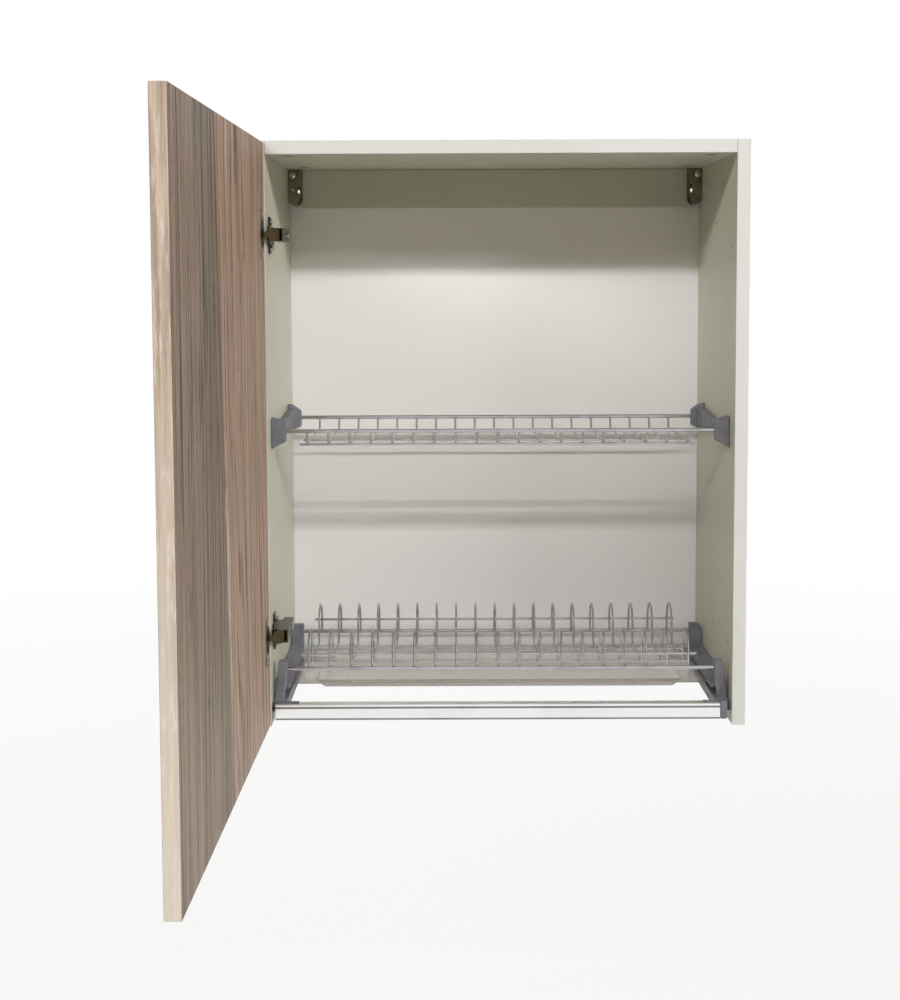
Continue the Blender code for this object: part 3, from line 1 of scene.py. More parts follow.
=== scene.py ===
"""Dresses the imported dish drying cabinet: its boards, door, hinges, hangers, racks, tray and profiles.

Every length is in metres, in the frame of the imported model. The cabinet hangs on a wall at Y = 0 and
opens towards -Y, with the middle of its height at Z = 0.
"""

from __future__ import annotations

import json
import logging
import math
from collections.abc import Callable, Sequence
from dataclasses import dataclass, field, replace
from enum import Enum

import bmesh
import bpy
from mathutils import Matrix, Vector


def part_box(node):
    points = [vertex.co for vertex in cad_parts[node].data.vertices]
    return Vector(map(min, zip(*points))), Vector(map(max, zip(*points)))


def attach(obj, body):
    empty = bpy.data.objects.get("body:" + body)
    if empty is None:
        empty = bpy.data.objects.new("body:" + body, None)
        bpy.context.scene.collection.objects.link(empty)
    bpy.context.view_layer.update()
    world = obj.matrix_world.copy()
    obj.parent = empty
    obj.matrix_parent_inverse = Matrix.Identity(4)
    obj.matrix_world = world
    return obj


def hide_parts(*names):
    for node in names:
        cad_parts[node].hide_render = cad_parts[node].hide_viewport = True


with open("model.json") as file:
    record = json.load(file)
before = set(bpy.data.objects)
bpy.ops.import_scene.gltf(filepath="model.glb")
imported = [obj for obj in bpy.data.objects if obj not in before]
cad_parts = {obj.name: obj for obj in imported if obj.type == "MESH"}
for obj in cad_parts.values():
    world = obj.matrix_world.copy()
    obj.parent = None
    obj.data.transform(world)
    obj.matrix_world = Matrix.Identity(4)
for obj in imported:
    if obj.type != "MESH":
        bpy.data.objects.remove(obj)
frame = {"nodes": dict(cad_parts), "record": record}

LOG = logging.getLogger("dish_drying_cabinet")
JOIN_DISTANCE = 2e-6
FLAT_WITHIN = math.radians(0.3)
EASED_FROM = math.radians(32)
CREASED_FROM = math.radians(40)

Point = tuple[float, float, float]
Colour = tuple[float, float, float]
Pair = tuple[float, float]
Path = Sequence[Sequence[float]]
Choice = Callable[[Vector, Vector], int]
Inside = Callable[[Vector], bool]

RIGHT: Point = (1.0, 0.0, 0.0)
LEFT: Point = (-1.0, 0.0, 0.0)
FRONT: Point = (0.0, -1.0, 0.0)
BACK: Point = (0.0, 1.0, 0.0)
UP: Point = (0.0, 0.0, 1.0)
# Where the open door's inner face looks: the door stands 0.7 degrees past a right angle
DOOR_INNER: Point = (0.99993, -0.0122, 0.0)


class Body(Enum):
    """The bodies of the cabinet that pieces ride on."""

    CABINET = "cabinet"
    DOOR = "door"
    CUP_RACK = "cup_rack"
    PLATE_RACK = "plate_rack"
    TRAY = "drip_tray"
    HOOK_LEFT = "hanger_hook_left"
    HOOK_RIGHT = "hanger_hook_right"


class Slot(Enum):
    """The record's material slots."""

    LAMINATE = "cream_laminate"
    BACK_BOARD = "white_board"
    PINE = "weathered_pine"
    NICKEL = "nickel_steel"
    ZINC = "zinc_steel"
    CHROME = "chromed_wire"
    ALUMINIUM = "anodised_aluminium"
    PLASTIC = "grey_plastic"
    CLEAR = "clear_plastic"


def srgb(red: int, green: int, blue: int) -> Colour:
    """The linear colour of a picture's colour.

    Args:
        red: the red part, 0 to 255.
        green: the green part, 0 to 255.
        blue: the blue part, 0 to 255.

    Returns:
        The three linear parts, 0 to 1.
    """
    parts = (part / 255 for part in (red, green, blue))
    return tuple(p / 12.92 if p <= 0.04045 else ((p + 0.055) / 1.055) ** 2.4 for p in parts)


def tinted(colour: Colour, factor: float) -> Colour:
    """A colour made darker or lighter by a factor."""
    return tuple(min(1.0, part * factor) for part in colour)


class Value:
    """A socket of a node tree that takes part in arithmetic."""

    def __init__(self, tree: Tree, socket: bpy.types.NodeSocket) -> None:
        """Keeps the tree and its socket."""
        self.tree = tree
        self.socket = socket

    def __add__(self, other: Term) -> Value:
        """Self plus other."""
        return self.tree.math("ADD", self, other)

    def __radd__(self, other: Term) -> Value:
        """Other plus self."""
        return self.tree.math("ADD", other, self)

    def __sub__(self, other: Term) -> Value:
        """Self minus other."""
        return self.tree.math("SUBTRACT", self, other)

    def __rsub__(self, other: Term) -> Value:
        """Other minus self."""
        return self.tree.math("SUBTRACT", other, self)

    def __mul__(self, other: Term) -> Value:
        """Self times other."""
        return self.tree.math("MULTIPLY", self, other)

    def __rmul__(self, other: Term) -> Value:
        """Other times self."""
        return self.tree.math("MULTIPLY", other, self)

    def __truediv__(self, other: Term) -> Value:
        """Self divided by other."""
        return self.tree.math("DIVIDE", self, other)

    def __rtruediv__(self, other: Term) -> Value:
        """Other divided by self."""
        return self.tree.math("DIVIDE", other, self)

    def __pow__(self, other: Term) -> Value:
        """Self to the power of other."""
        return self.tree.math("POWER", self, other)

    def smooth(self, low: float, high: float) -> Value:
        """A soft step.

        Args:
            low: where the step begins.
            high: where it ends.

        Returns:
            0 below low, 1 above high and a smooth rise between them.
        """
        settings = {"interpolation_type": "SMOOTHSTEP"}
        sockets = {"Value": self, "From Min": low, "From Max": high}
        return self.tree.add("ShaderNodeMapRange", settings, sockets)

    def rising(self, floor: float, gain: float) -> Value:
        """A floor plus a gain for what it is."""
        return floor + self * gain

    def below(self, level: float, gain: float) -> Value:
        """How far it lies below a level, times a gain."""
        return (level - self) * gain

    def absolute(self) -> Value:
        """The size without its sign."""
        return self.tree.math("ABSOLUTE", self)

    def cosine(self) -> Value:
        """The cosine of an angle."""
        return self.tree.math("COSINE", self)


Term = Value | float | int | Sequence[float] | bool | bpy.types.ID


class Tree:
    """A node tree that is built one call at a time."""

    def __init__(self, nodes: bpy.types.NodeTree) -> None:
        """Empties the tree and keeps it."""
        self.nodes = nodes
        nodes.nodes.clear()

    def node(
        self,
        kind: str,
        settings: dict[str, object] | None = None,
        sockets: dict[str, Term] | None = None,
    ) -> bpy.types.Node:
        """Adds a node.

        Args:
            kind: the node's type.
            settings: properties set before the sockets.
            sockets: the values or links of its inputs, by name.

        Returns:
            The node.
        """
        made = self.nodes.nodes.new(kind)
        for name, value in (settings or {}).items():
            setattr(made, name, value)
        for name, value in (sockets or {}).items():
            target = next(s for s in made.inputs if s.enabled and name in (s.name, s.identifier))
            if isinstance(value, Value):
                self.nodes.links.new(value.socket, target)
            else:
                target.default_value = value
        return made

    def add(
        self,
        kind: str,
        settings: dict[str, object] | None = None,
        sockets: dict[str, Term] | None = None,
        output: str | None = None,
    ) -> Value:
        """Adds a node and gives one of its outputs.

        Args:
            kind: the node's type.
            settings: properties set before the sockets.
            sockets: the values or links of its inputs, by name.
            output: the output's name, or None for the first one in use.

        Returns:
            The output.
        """
        made = self.node(kind, settings, sockets)
        shown = [s for s in made.outputs if s.enabled and output in (None, s.name)]
        return Value(self, shown[0])

    def math(self, operation: str, first: Term, second: Term = 0.0) -> Value:
        """One step of arithmetic.

        Args:
            operation: the Math node's operation.
            first: its first value.
            second: its second value.

        Returns:
            The result.
        """
        made = self.node("ShaderNodeMath", {"operation": operation})
        for target, value in zip(made.inputs, (first, second)):
            if isinstance(value, Value):
                self.nodes.links.new(value.socket, target)
            else:
                target.default_value = value
        return Value(self, made.outputs[0])


class Shading(Tree):
    """A tree of shaders, for a material or the world."""

    def seen(self) -> Value:
        """1 for what the camera sees straight, in a reflection or through clear plastic."""
        rays = self.node("ShaderNodeLightPath")
        kinds = ("Is Camera Ray", "Is Glossy Ray", "Is Transmission Ray")
        straight, mirrored, through = (Value(self, rays.outputs[kind]) for kind in kinds)
        return self.math("MAXIMUM", self.math("MAXIMUM", straight, mirrored), through)

    def blend(self, share: Value, first: Value, second: Value) -> Value:
        """Two shaders blended by a share of the second."""
        sockets = {"Fac": share, "Shader": first, "Shader_001": second}
        return self.add("ShaderNodeMixShader", None, sockets)


@dataclass(frozen=True)
class Grain:
    """A pattern of soft random variation.

    Attributes:
        scale: its features in a metre, one number or one for each axis.
        detail: how many finer layers it has.
        rough: how strong the finer layers are.
        warp: how far it swirls.
    """

    scale: Point | float
    detail: float = 2.0
    rough: float = 0.5
    warp: float = 0.0


@dataclass(frozen=True)
class Relief:
    """A surface's small relief: how deep it is, in metres, and how much of it shows."""

    depth: float
    strength: float


class Paint(Shading):
    """A material's node tree."""

    def __init__(self, name: str) -> None:
        """Makes the material and its empty tree."""
        self.material = bpy.data.materials.new(name)
        self.material.use_nodes = True
        super().__init__(self.material.node_tree)
        self.place = self.add("ShaderNodeTexCoord", output="Object")

    def axis(self, name: str) -> Value:
        """One coordinate of a point of the object: X, Y or Z."""
        return self.add("ShaderNodeSeparateXYZ", sockets={"Vector": self.place}, output=name)

    def scaled(self, scale: Point) -> Value:
        """The point's place, stretched by a scale on each axis."""
        sockets = {"Vector": self.place}
        stretched = self.add("ShaderNodeVectorMath", {"operation": "MULTIPLY"}, sockets, "Vector")
        stretched.socket.node.inputs[1].default_value = scale
        return stretched

    def noise(self, grain: Grain) -> Value:
        """A pattern's variation, between 0 and 1."""
        even = isinstance(grain.scale, float)
        sockets = {
            "Vector": self.scaled((grain.scale,) * 3 if even else grain.scale),
            "Scale": 1.0,
            "Detail": grain.detail,
            "Roughness": grain.rough,
            "Distortion": grain.warp,
        }
        return self.add("ShaderNodeTexNoise", None, sockets, "Fac")

    def sway(self, grain: Grain) -> Value:
        """A pattern's variation to both sides of 0."""
        return self.noise(grain) - 0.5

    def mix(self, share: Term, first: Term, second: Term) -> Value:
        """Two colours blended by a share of the second."""
        sockets = {"Factor": share, "A": self._colour(first), "B": self._colour(second)}
        return self.add("ShaderNodeMix", {"data_type": "RGBA"}, sockets)

    @staticmethod
    def _colour(value: Term) -> Term:
        """A colour with its fourth part, or the link as it is."""
        return value if isinstance(value, Value) else (*value, 1.0)

    def bump(self, height: Value, relief: Relief) -> Value:
        """The normal of a surface whose relief has a height of 0 to 1."""
        sockets = {"Height": height, "Distance": relief.depth, "Strength": relief.strength}
        return self.add("ShaderNodeBump", None, sockets)

    def finish(self, sockets: dict[str, Term]) -> bpy.types.Material:
        """Ends the tree in one surface shader.

        Args:
            sockets: the shader's values and links.

        Returns:
            The material.
        """
        surface = self.add("ShaderNodeBsdfPrincipled", None, sockets)
        self.node("ShaderNodeOutputMaterial", None, {"Surface": surface})
        return self.material


@dataclass(frozen=True)
class Finish:
    """What a surface is finished with."""

    name: str
    slot: Slot

    def material(self) -> bpy.types.Material:
        """The finish's material, made on its first use."""
        known = bpy.data.materials.get(self.name)
        return known if known else self.paint(Paint(self.name))

    def paint(self, tree: Paint) -> bpy.types.Material:
        """Builds the material in an empty tree."""
        raise NotImplementedError


@dataclass(frozen=True)
class Laminate(Finish):
    """Cream melamine on board, with a fine pearl relief and faint handling marks."""

    tone: Colour = srgb(199, 197, 181)
    shade: Colour = srgb(189, 186, 167)
    cloud: Grain = Grain(5.0, 3.0, 0.6)
    cloud_range: Pair = (0.3, 0.75)
    cloud_share: float = 0.45
    smear: Grain = Grain((9.0, 9.0, 28.0), 4.0, 0.65, 0.4)
    smear_range: Pair = (0.58, 0.75)
    smear_share: float = 0.18
    smear_rough: float = 0.07
    pearl: Grain = Grain(900.0, 1.0)
    pearl_share: float = 0.08
    pearl_rough: float = 0.08
    rough: float = 0.42
    shine: float = 0.4
    relief: Relief = Relief(0.00006, 0.35)

    def paint(self, tree: Paint) -> bpy.types.Material:
        """Builds the material in an empty tree."""
        cloud = tree.noise(self.cloud).smooth(*self.cloud_range)
        smear = tree.noise(self.smear).smooth(*self.smear_range)
        pearl = tree.noise(self.pearl)
        share = cloud * self.cloud_share + smear * self.smear_share + pearl * self.pearl_share
        return tree.finish(
            {
                "Base Color": tree.mix(share, self.tone, self.shade),
                "Roughness": self.rough + pearl * self.pearl_rough + smear * self.smear_rough,
                "Specular IOR Level": self.shine,
                "Normal": tree.bump(pearl, self.relief),
            }
        )


@dataclass(frozen=True)
class HardBoard(Finish):
    """Thin fibre board, lacquered in front and raw behind."""

    face: Colour = srgb(240, 238, 236)
    face_shade: float = 0.94
    raw: Colour = srgb(181, 149, 112)
    raw_shades: Pair = (0.78, 1.16)
    behind: float = -0.0006
    edge: float = 0.0002
    cloud: Grain = Grain(4.0, 3.0, 0.6)
    cloud_share: float = 0.5
    fibres: Grain = Grain((160.0, 160.0, 60.0), 5.0, 0.7, 0.8)
    fibre_range: Pair = (0.3, 0.7)
    pores: Grain = Grain(700.0, 1.0)
    pore_height: float = 0.3
    pore_rough: float = 0.06
    raw_rough: float = 0.35
    rough: float = 0.45
    shine: float = 0.4
    relief: Relief = Relief(0.00008, 0.5)

    def paint(self, tree: Paint) -> bpy.types.Material:
        """Builds the material in an empty tree."""
        cloud, fibres, pores = (tree.noise(grain) for grain in (self.cloud, self.fibres, self.pores))
        raw_side = tree.axis("Y").smooth(self.behind - self.edge, self.behind + self.edge)
        lacquer = tree.mix(cloud * self.cloud_share, self.face, tinted(self.face, self.face_shade))
        dark, light = (tinted(self.raw, shade) for shade in self.raw_shades)
        board = tree.mix(fibres.smooth(*self.fibre_range), dark, light)
        height = raw_side * fibres + (1 - raw_side) * pores * self.pore_height
        return tree.finish(
            {
                "Base Color": tree.mix(raw_side, lacquer, board),
                "Roughness": self.rough + raw_side * self.raw_rough + pores * self.pore_rough,
                "Specular IOR Level": self.shine,
                "Normal": tree.bump(height, self.relief),
            }
        )


@dataclass(frozen=True)
class ChipBoard(Finish):
    """The raw particles inside a bored hole or on a sawn edge."""

    light: Colour = srgb(201, 168, 122)
    dark: Colour = srgb(120, 88, 58)
    chips: Grain = Grain(420.0, 3.0, 0.7, 1.2)
    chip_range: Pair = (0.3, 0.7)
    dust: Grain = Grain(1900.0, 1.0)
    dust_rough: float = 0.2
    rough: float = 0.75
    relief: Relief = Relief(0.0003, 0.8)

    def paint(self, tree: Paint) -> bpy.types.Material:
        """Builds the material in an empty tree."""
        chips = tree.noise(self.chips)
        return tree.finish(
            {
                "Base Color": tree.mix(chips.smooth(*self.chip_range), self.dark, self.light),
                "Roughness": self.rough + tree.noise(self.dust) * self.dust_rough,
                "Normal": tree.bump(chips, self.relief),
            }
        )


@dataclass(frozen=True)
class Plank:
    """One plank of the decor.

    Attributes:
        tone: its colour.
        dark: the colour of its darkest lines.
        pitch: the spacing of its lines, in metres.
        swing: how far the lines swing together.
        crowd: how far they crowd or spread.
        waver: how far each of them wavers.
        line_range: a line's dark to pale, as the cosine of its place.
        broken: where the lines break off.
        line_depth: how dark a line is at least, and what more its shade or boldness gives.
        stain: how much the stains darken it.
        grain: how much the fine grain darkens it.
        shade: how much its broad shade darkens it.
        lift: how much paler all of it is.
    """

    tone: Colour
    dark: Colour
    pitch: float
    swing: float
    crowd: float
    waver: float
    broken: Pair
    line_depth: Pair
    stain: float
    grain: float
    lift: float
    shade: float = 0.14
    line_range: Pair = (0.1, 0.95)

    def lines(self, across: Value) -> Value:
        """Thin dark lines, one in each pitch of the length across the grain."""
        return (across * (math.tau / self.pitch)).cosine().smooth(*self.line_range)

    def darkness(self, lines: Value, stain: Value, grain: Value, shade: Value) -> Value:
        """How dark a point is, from what darkens it there."""
        return lines + stain * self.stain + grain * self.grain + shade * self.shade - self.lift


@dataclass(frozen=True)
class Pine(Finish):
    """Weathered pine decor with its grain upright: a grey plank beside a pink one, worn and streaked.

    The planks meet along a line that leans, and the pink one lies at the hinges.
    """

    grey: Plank = Plank(
        tone=srgb(148, 127, 112),
        dark=srgb(74, 62, 52),
        pitch=0.0152,
        swing=0.10,
        crowd=0.035,
        waver=0.01,
        broken=(0.35, 0.6),
        line_depth=(0.6, 0.6),
        stain=0.55,
        grain=0.85,
        lift=0.05,
    )
    pink: Plank = Plank(
        tone=srgb(176, 148, 128),
        dark=srgb(92, 70, 57),
        pitch=0.0275,
        swing=0.17,
        crowd=0.05,
        waver=0.024,
        broken=(0.3, 0.6),
        line_depth=(0.55, 0.8),
        stain=0.5,
        grain=0.7,
        lift=0.12,
    )
    plank_edge: float = -0.637
    plank_lean: float = -0.092
    edge_waver: float = 0.008
    edge_blur: float = 0.0012
    waver: Grain = Grain((0.0, 16.0, 3.4), 4.0, 0.6)
    swing: Grain = Grain((0.0, 6.0, 1.3))
    crowd: Grain = Grain((0.0, 17.0, 0.3), 2.0, 0.6)
    knot_place: Pair = (-0.57, 0.05)
    knot_size: Pair = (0.035, 0.06)
    knot_swing: float = 0.035
    broken: Grain = Grain((0.0, 80.0, 6.0), 4.0, 0.65)
    broken_depth: Pair = (0.25, 0.6)
    bold: Grain = Grain((0.0, 40.0, 0.9), 2.0, 0.6)
    bold_range: Pair = (0.3, 0.7)
    bold_depth: Pair = (0.2, 0.6)
    high_depth: Pair = (0.85, -0.4)
    streak: Grain = Grain((0.0, 92.0, 1.7), 5.0, 0.74)
    streak_level: Pair = (0.555, 4.0)
    fibre: Grain = Grain((0.0, 250.0, 4.2), 4.0, 0.78)
    fibre_level: Pair = (0.53, 3.2)
    speck: Grain = Grain((0.0, 330.0, 85.0), 3.0, 0.7)
    speck_level: Pair = (0.5, 1.6)
    stain: Grain = Grain((0.0, 26.0, 4.0), 4.0, 0.7)
    stain_range: Pair = (0.52, 0.7)
    band_tone: Colour = srgb(126, 116, 101)
    band_aside: float = 0.05
    band_fade: Pair = (0.085, 0.02)
    band_cloud: Grain = Grain((0.0, 9.0, 2.0), 3.0, 0.6)
    band_range: Pair = (0.3, 0.65)
    band_depth: Pair = (0.25, 0.75)
    band_share: float = 0.8
    flake: Colour = srgb(226, 211, 194)
    chips: Grain = Grain((0.0, 150.0, 17.0), 3.0, 0.7, 0.3)
    flake_range: Pair = (0.46, 0.6)
    flake_share: float = 0.85
    flake_aside: float = 0.007
    flake_fade: Pair = (0.024, 0.003)
    flake_level: float = -0.1
    flake_reach: Pair = (0.18, 0.05)
    fleck_range: Pair = (0.68, 0.74)
    fleck_share: float = 0.3
    seam_aside: float = 0.002
    seam_fade: Pair = (0.007, 0.002)
    seam_depth: Pair = (0.3, 0.6)
    dark_above: Pair = (-0.16, 0.1)
    pale_below: Pair = (0.15, -0.36)
    foot_light: float = 0.14
    rough: float = 0.5
    dark_rough: float = 0.16
    fibre_rough: float = 0.1
    shine: float = 0.35
    relief: Relief = Relief(0.00022, 0.5)

    def paint(self, tree: Paint) -> bpy.types.Material:
        """Builds the material in an empty tree."""
        y, z = tree.axis("Y"), tree.axis("Z")
        waver, swing, crowd = (tree.sway(grain) for grain in (self.waver, self.swing, self.crowd))
        edge = y - (z * self.plank_lean + self.plank_edge) + waver * self.edge_waver
        far = edge.smooth(-self.edge_blur, self.edge_blur)
        near = 1 - far
        grey, pink = (
            y + swing * plank.swing + crowd * plank.crowd + waver * plank.waver
            for plank in (self.grey, self.pink)
        )
        high = z.smooth(*self.dark_above)
        beside = (edge + self.band_aside).absolute().smooth(*self.band_fade)
        band = beside * tree.noise(self.band_cloud).smooth(*self.band_range).rising(*self.band_depth)
        broken, bold = tree.noise(self.broken), tree.noise(self.bold)
        bold_near = bold.smooth(*self.bold_range).rising(*self.bold_depth)
        lines_near = self.grey.lines(grey) * broken.smooth(*self.grey.broken) * bold_near
        broken_far = broken.smooth(*self.pink.broken).rising(*self.broken_depth)
        lines_far = self.pink.lines(pink + self._knot(y, z) * self.knot_swing) * broken_far
        dark_near = lines_near * band.rising(*self.grey.line_depth)
        dark_far = lines_far * high.rising(*self.high_depth) * bold.rising(*self.pink.line_depth)
        fibre = tree.noise(self.fibre)
        streaks = tree.noise(self.streak).below(*self.streak_level)
        grain = streaks + fibre.below(*self.fibre_level) + tree.noise(self.speck).below(*self.speck_level)
        stain = tree.noise(self.stain).smooth(*self.stain_range)
        grey_dark = self.grey.darkness(dark_near, stain, grain, band)
        pink_dark = self.pink.darkness(dark_far, stain * high, grain, high)
        grey_base = tree.mix(band * self.band_share, self.grey.tone, self.band_tone)
        grey_plank = tree.mix(grey_dark, grey_base, self.grey.dark)
        planks = tree.mix(far, grey_plank, tree.mix(pink_dark, self.pink.tone, self.pink.dark))
        worn = tree.mix(self._flaking(tree, edge, z), planks, self.flake)
        seam = (edge + self.seam_aside).absolute().smooth(*self.seam_fade) * high.rising(*self.seam_depth)
        # Paler towards the foot: blended towards the flake colour, more so lower down.
        paler_at_foot = z.smooth(*self.pale_below) * self.foot_light
        dark = grey_dark * near + pink_dark * far
        return tree.finish(
            {
                "Base Color": tree.mix(paler_at_foot, tree.mix(seam, worn, self.grey.dark), self.flake),
                "Roughness": self.rough + dark * self.dark_rough + fibre * self.fibre_rough,
                "Specular IOR Level": self.shine,
                "Normal": tree.bump(1 - dark, self.relief),
            }
        )

    def _knot(self, y: Value, z: Value) -> Value:
        """How strongly the pink plank's lines swing around its one small knot."""
        aside = (y - self.knot_place[0]) / self.knot_size[0]
        along = (z - self.knot_place[1]) / self.knot_size[1]
        return 1 / (1 + aside**2 + along**2)

    def _flaking(self, tree: Paint, edge: Value, z: Value) -> Value:
        """How bare the decor is: flaked off along the low part of the planks' edge, flecked elsewhere."""
        chips = tree.noise(self.chips)
        at_edge = (edge - self.flake_aside).absolute().smooth(*self.flake_fade)
        low = (z - self.flake_level).absolute().smooth(*self.flake_reach)
        flaked = chips.smooth(*self.flake_range) * at_edge * low * self.flake_share
        return flaked + chips.smooth(*self.fleck_range) * self.fleck_share


@dataclass(frozen=True)
class PineTape(Finish):
    """The pine decor's pale edge tape, with long faint streaks and worn spots."""

    tone: Colour = srgb(190, 172, 155)
    dark: Colour = srgb(128, 110, 93)
    bare: Colour = srgb(228, 217, 203)
    streaks: Grain = Grain((210.0, 210.0, 5.0), 4.0, 0.72)
    streak_range: Pair = (0.38, 0.66)
    streak_share: float = 0.65
    streak_rough: float = 0.14
    broad: Grain = Grain((80.0, 80.0, 4.0), 3.0, 0.6)
    broad_range: Pair = (0.4, 0.7)
    broad_share: float = 0.5
    speck: Grain = Grain((900.0, 900.0, 60.0), 2.0, 0.6)
    speck_share: float = 0.12
    spots: Grain = Grain((190.0, 190.0, 26.0), 3.0, 0.7)
    spot_range: Pair = (0.52, 0.7)
    spot_share: float = 0.45
    pale_below: Pair = (0.22, -0.36)
    foot_light: float = 0.62
    rough: float = 0.48
    shine: float = 0.35
    relief: Relief = Relief(0.0001, 0.4)

    def paint(self, tree: Paint) -> bpy.types.Material:
        """Builds the material in an empty tree."""
        streaks = tree.noise(self.streaks)
        lines = streaks.smooth(*self.streak_range) * self.streak_share
        broad = tree.noise(self.broad).smooth(*self.broad_range) * self.broad_share
        dark = lines + broad + tree.noise(self.speck) * self.speck_share
        spots = tree.noise(self.spots).smooth(*self.spot_range) * self.spot_share
        colour = tree.mix(spots, tree.mix(dark, self.tone, self.dark), self.bare)
        # Paler towards the foot: blended towards the bare colour, more so lower down.
        paler_at_foot = tree.axis("Z").smooth(*self.pale_below) * self.foot_light
        return tree.finish(
            {
                "Base Color": tree.mix(paler_at_foot, colour, self.bare),
                "Roughness": self.rough + streaks * self.streak_rough,
                "Specular IOR Level": self.shine,
                "Normal": tree.bump(1 - dark, self.relief),
            }
        )


@dataclass(frozen=True)
class Metal(Finish):
    """A plated or anodised metal, drawn along X."""

    tone: Colour
    dull: Colour
    rough: float
    lines: Grain = Grain((8.0, 1500.0, 1500.0), 2.0, 0.6)
    line_share: float = 0.25
    line_rough: float = 0.12
    blotches: Grain = Grain(60.0, 4.0, 0.65, 0.5)
    blotch_range: Pair = (0.45, 0.75)
    blotch_share: float = 0.6
    blotch_rough: float = 0.12
    relief: Relief = Relief(0.00002, 0.4)

    def paint(self, tree: Paint) -> bpy.types.Material:
        """Builds the material in an empty tree."""
        lines = tree.noise(self.lines)
        tarnish = tree.noise(self.blotches).smooth(*self.blotch_range)
        share = tarnish * self.blotch_share + lines * self.line_share
        return tree.finish(
            {
                "Base Color": tree.mix(share, self.tone, self.dull),
                "Metallic": 1.0,
                "Roughness": self.rough + lines * self.line_rough + tarnish * self.blotch_rough,
                "Normal": tree.bump(lines, self.relief),
            }
        )


@dataclass(frozen=True)
class Moulded(Finish):
    """Grey moulded plastic with a fine spark-eroded texture and a few scuffs."""

    tone: Colour = srgb(124, 124, 131)
    dull: Colour = srgb(105, 105, 112)
    cloud: Grain = Grain(45.0, 4.0, 0.6)
    cloud_range: Pair = (0.35, 0.7)
    scuffs: Grain = Grain((60.0, 200.0, 340.0), 3.0, 0.7, 0.8)
    scuff_range: Pair = (0.66, 0.78)
    scuff_share: float = 0.3
    scuff_light: float = 1.7
    scuff_rough: float = 0.1
    texture: Grain = Grain(1400.0, 2.0, 0.6)
    texture_rough: float = 0.12
    rough: float = 0.46
    shine: float = 0.45
    relief: Relief = Relief(0.00004, 0.4)

    def paint(self, tree: Paint) -> bpy.types.Material:
        """Builds the material in an empty tree."""
        texture = tree.noise(self.texture)
        scuffs = tree.noise(self.scuffs).smooth(*self.scuff_range)
        colour = tree.mix(tree.noise(self.cloud).smooth(*self.cloud_range), self.tone, self.dull)
        scuffed = tree.mix(scuffs * self.scuff_share, colour, tinted(self.tone, self.scuff_light))
        return tree.finish(
            {
                "Base Color": scuffed,
                "Roughness": self.rough + texture * self.texture_rough + scuffs * self.scuff_rough,
                "Specular IOR Level": self.shine,
                "Normal": tree.bump(texture, self.relief),
            }
        )


@dataclass(frozen=True)
class ClearSheet(Finish):
    """Clear formed plastic with dried water marks and fine scratches."""

    tone: Colour = (0.765, 0.725, 0.672)
    scratches: Grain = Grain((25.0, 900.0, 900.0), 3.0, 0.7, 0.3)
    scratch_range: Pair = (0.55, 0.8)
    scratch_rough: float = 0.12
    spots: Grain = Grain(70.0, 4.0, 0.7, 0.6)
    film_range: Pair = (0.5, 0.72)
    film_share: float = 0.5
    film_shade: float = 0.86
    film_rough: float = 0.16
    rough: float = 0.05
    refraction: float = 1.49
    clearness: float = 0.72
    heights: Pair = (0.7, 0.3)
    relief: Relief = Relief(0.0003, 0.25)

    def paint(self, tree: Paint) -> bpy.types.Material:
        """Builds the material in an empty tree."""
        scratches, spots = tree.noise(self.scratches), tree.noise(self.spots)
        film = spots.smooth(*self.film_range)
        marks = scratches.smooth(*self.scratch_range)
        height = spots * self.heights[0] + scratches * self.heights[1]
        clouded = tinted(self.tone, self.film_shade)
        return tree.finish(
            {
                "Base Color": tree.mix(film * self.film_share, self.tone, clouded),
                "Roughness": self.rough + film * self.film_rough + marks * self.scratch_rough,
                "IOR": self.refraction,
                "Transmission Weight": self.clearness,
                "Normal": tree.bump(height, self.relief),
            }
        )


CREAM = Laminate("cream laminate", Slot.LAMINATE)
TAPE = Laminate("edge tape", Slot.LAMINATE, tone=srgb(206, 204, 200), shade=srgb(198, 195, 189), rough=0.38)
BACK_BOARD = HardBoard("white board", Slot.BACK_BOARD)
CHIPS = ChipBoard("bored chipboard", Slot.LAMINATE)
PINE = Pine("weathered pine", Slot.PINE)
PINE_TAPE = PineTape("pine edge tape", Slot.PINE)
NICKEL = Metal(
    "nickel plated steel", Slot.NICKEL, tone=srgb(80, 70, 50), dull=srgb(53, 45, 31), rough=0.17
)
SCREW_NICKEL = Metal(
    "bright nickel", Slot.NICKEL, tone=srgb(196, 190, 176), dull=srgb(140, 132, 114), rough=0.16
)
ZINC = Metal("zinc plated steel", Slot.ZINC, tone=srgb(116, 108, 87), dull=srgb(80, 73, 56), rough=0.4)
CHROME = Metal(
    "chromed wire",
    Slot.CHROME,
    tone=srgb(186, 185, 187),
    dull=srgb(150, 148, 150),
    rough=0.1,
    lines=Grain((8.0, 500.0, 500.0), 2.0, 0.6),
    blotches=Grain(25.0, 4.0, 0.65, 0.5),
    relief=Relief(0.000002, 0.4),
)
# A darker copy of the chrome for the cross wires and their weld beads: painted shade, standing in for the
# dark cabinet that these thin wires mirror.
CROSS_WIRE_SHADED_CHROME = replace(
    CHROME, name="chromed thin wire", tone=srgb(68, 66, 66), dull=srgb(43, 41, 41), rough=0.13
)
ALUMINIUM = Metal(
    "anodised aluminium",
    Slot.ALUMINIUM,
    tone=srgb(246, 246, 245),
    dull=srgb(233, 233, 233),
    rough=0.26,
    blotches=Grain(12.0, 4.0, 0.65, 0.5),
)
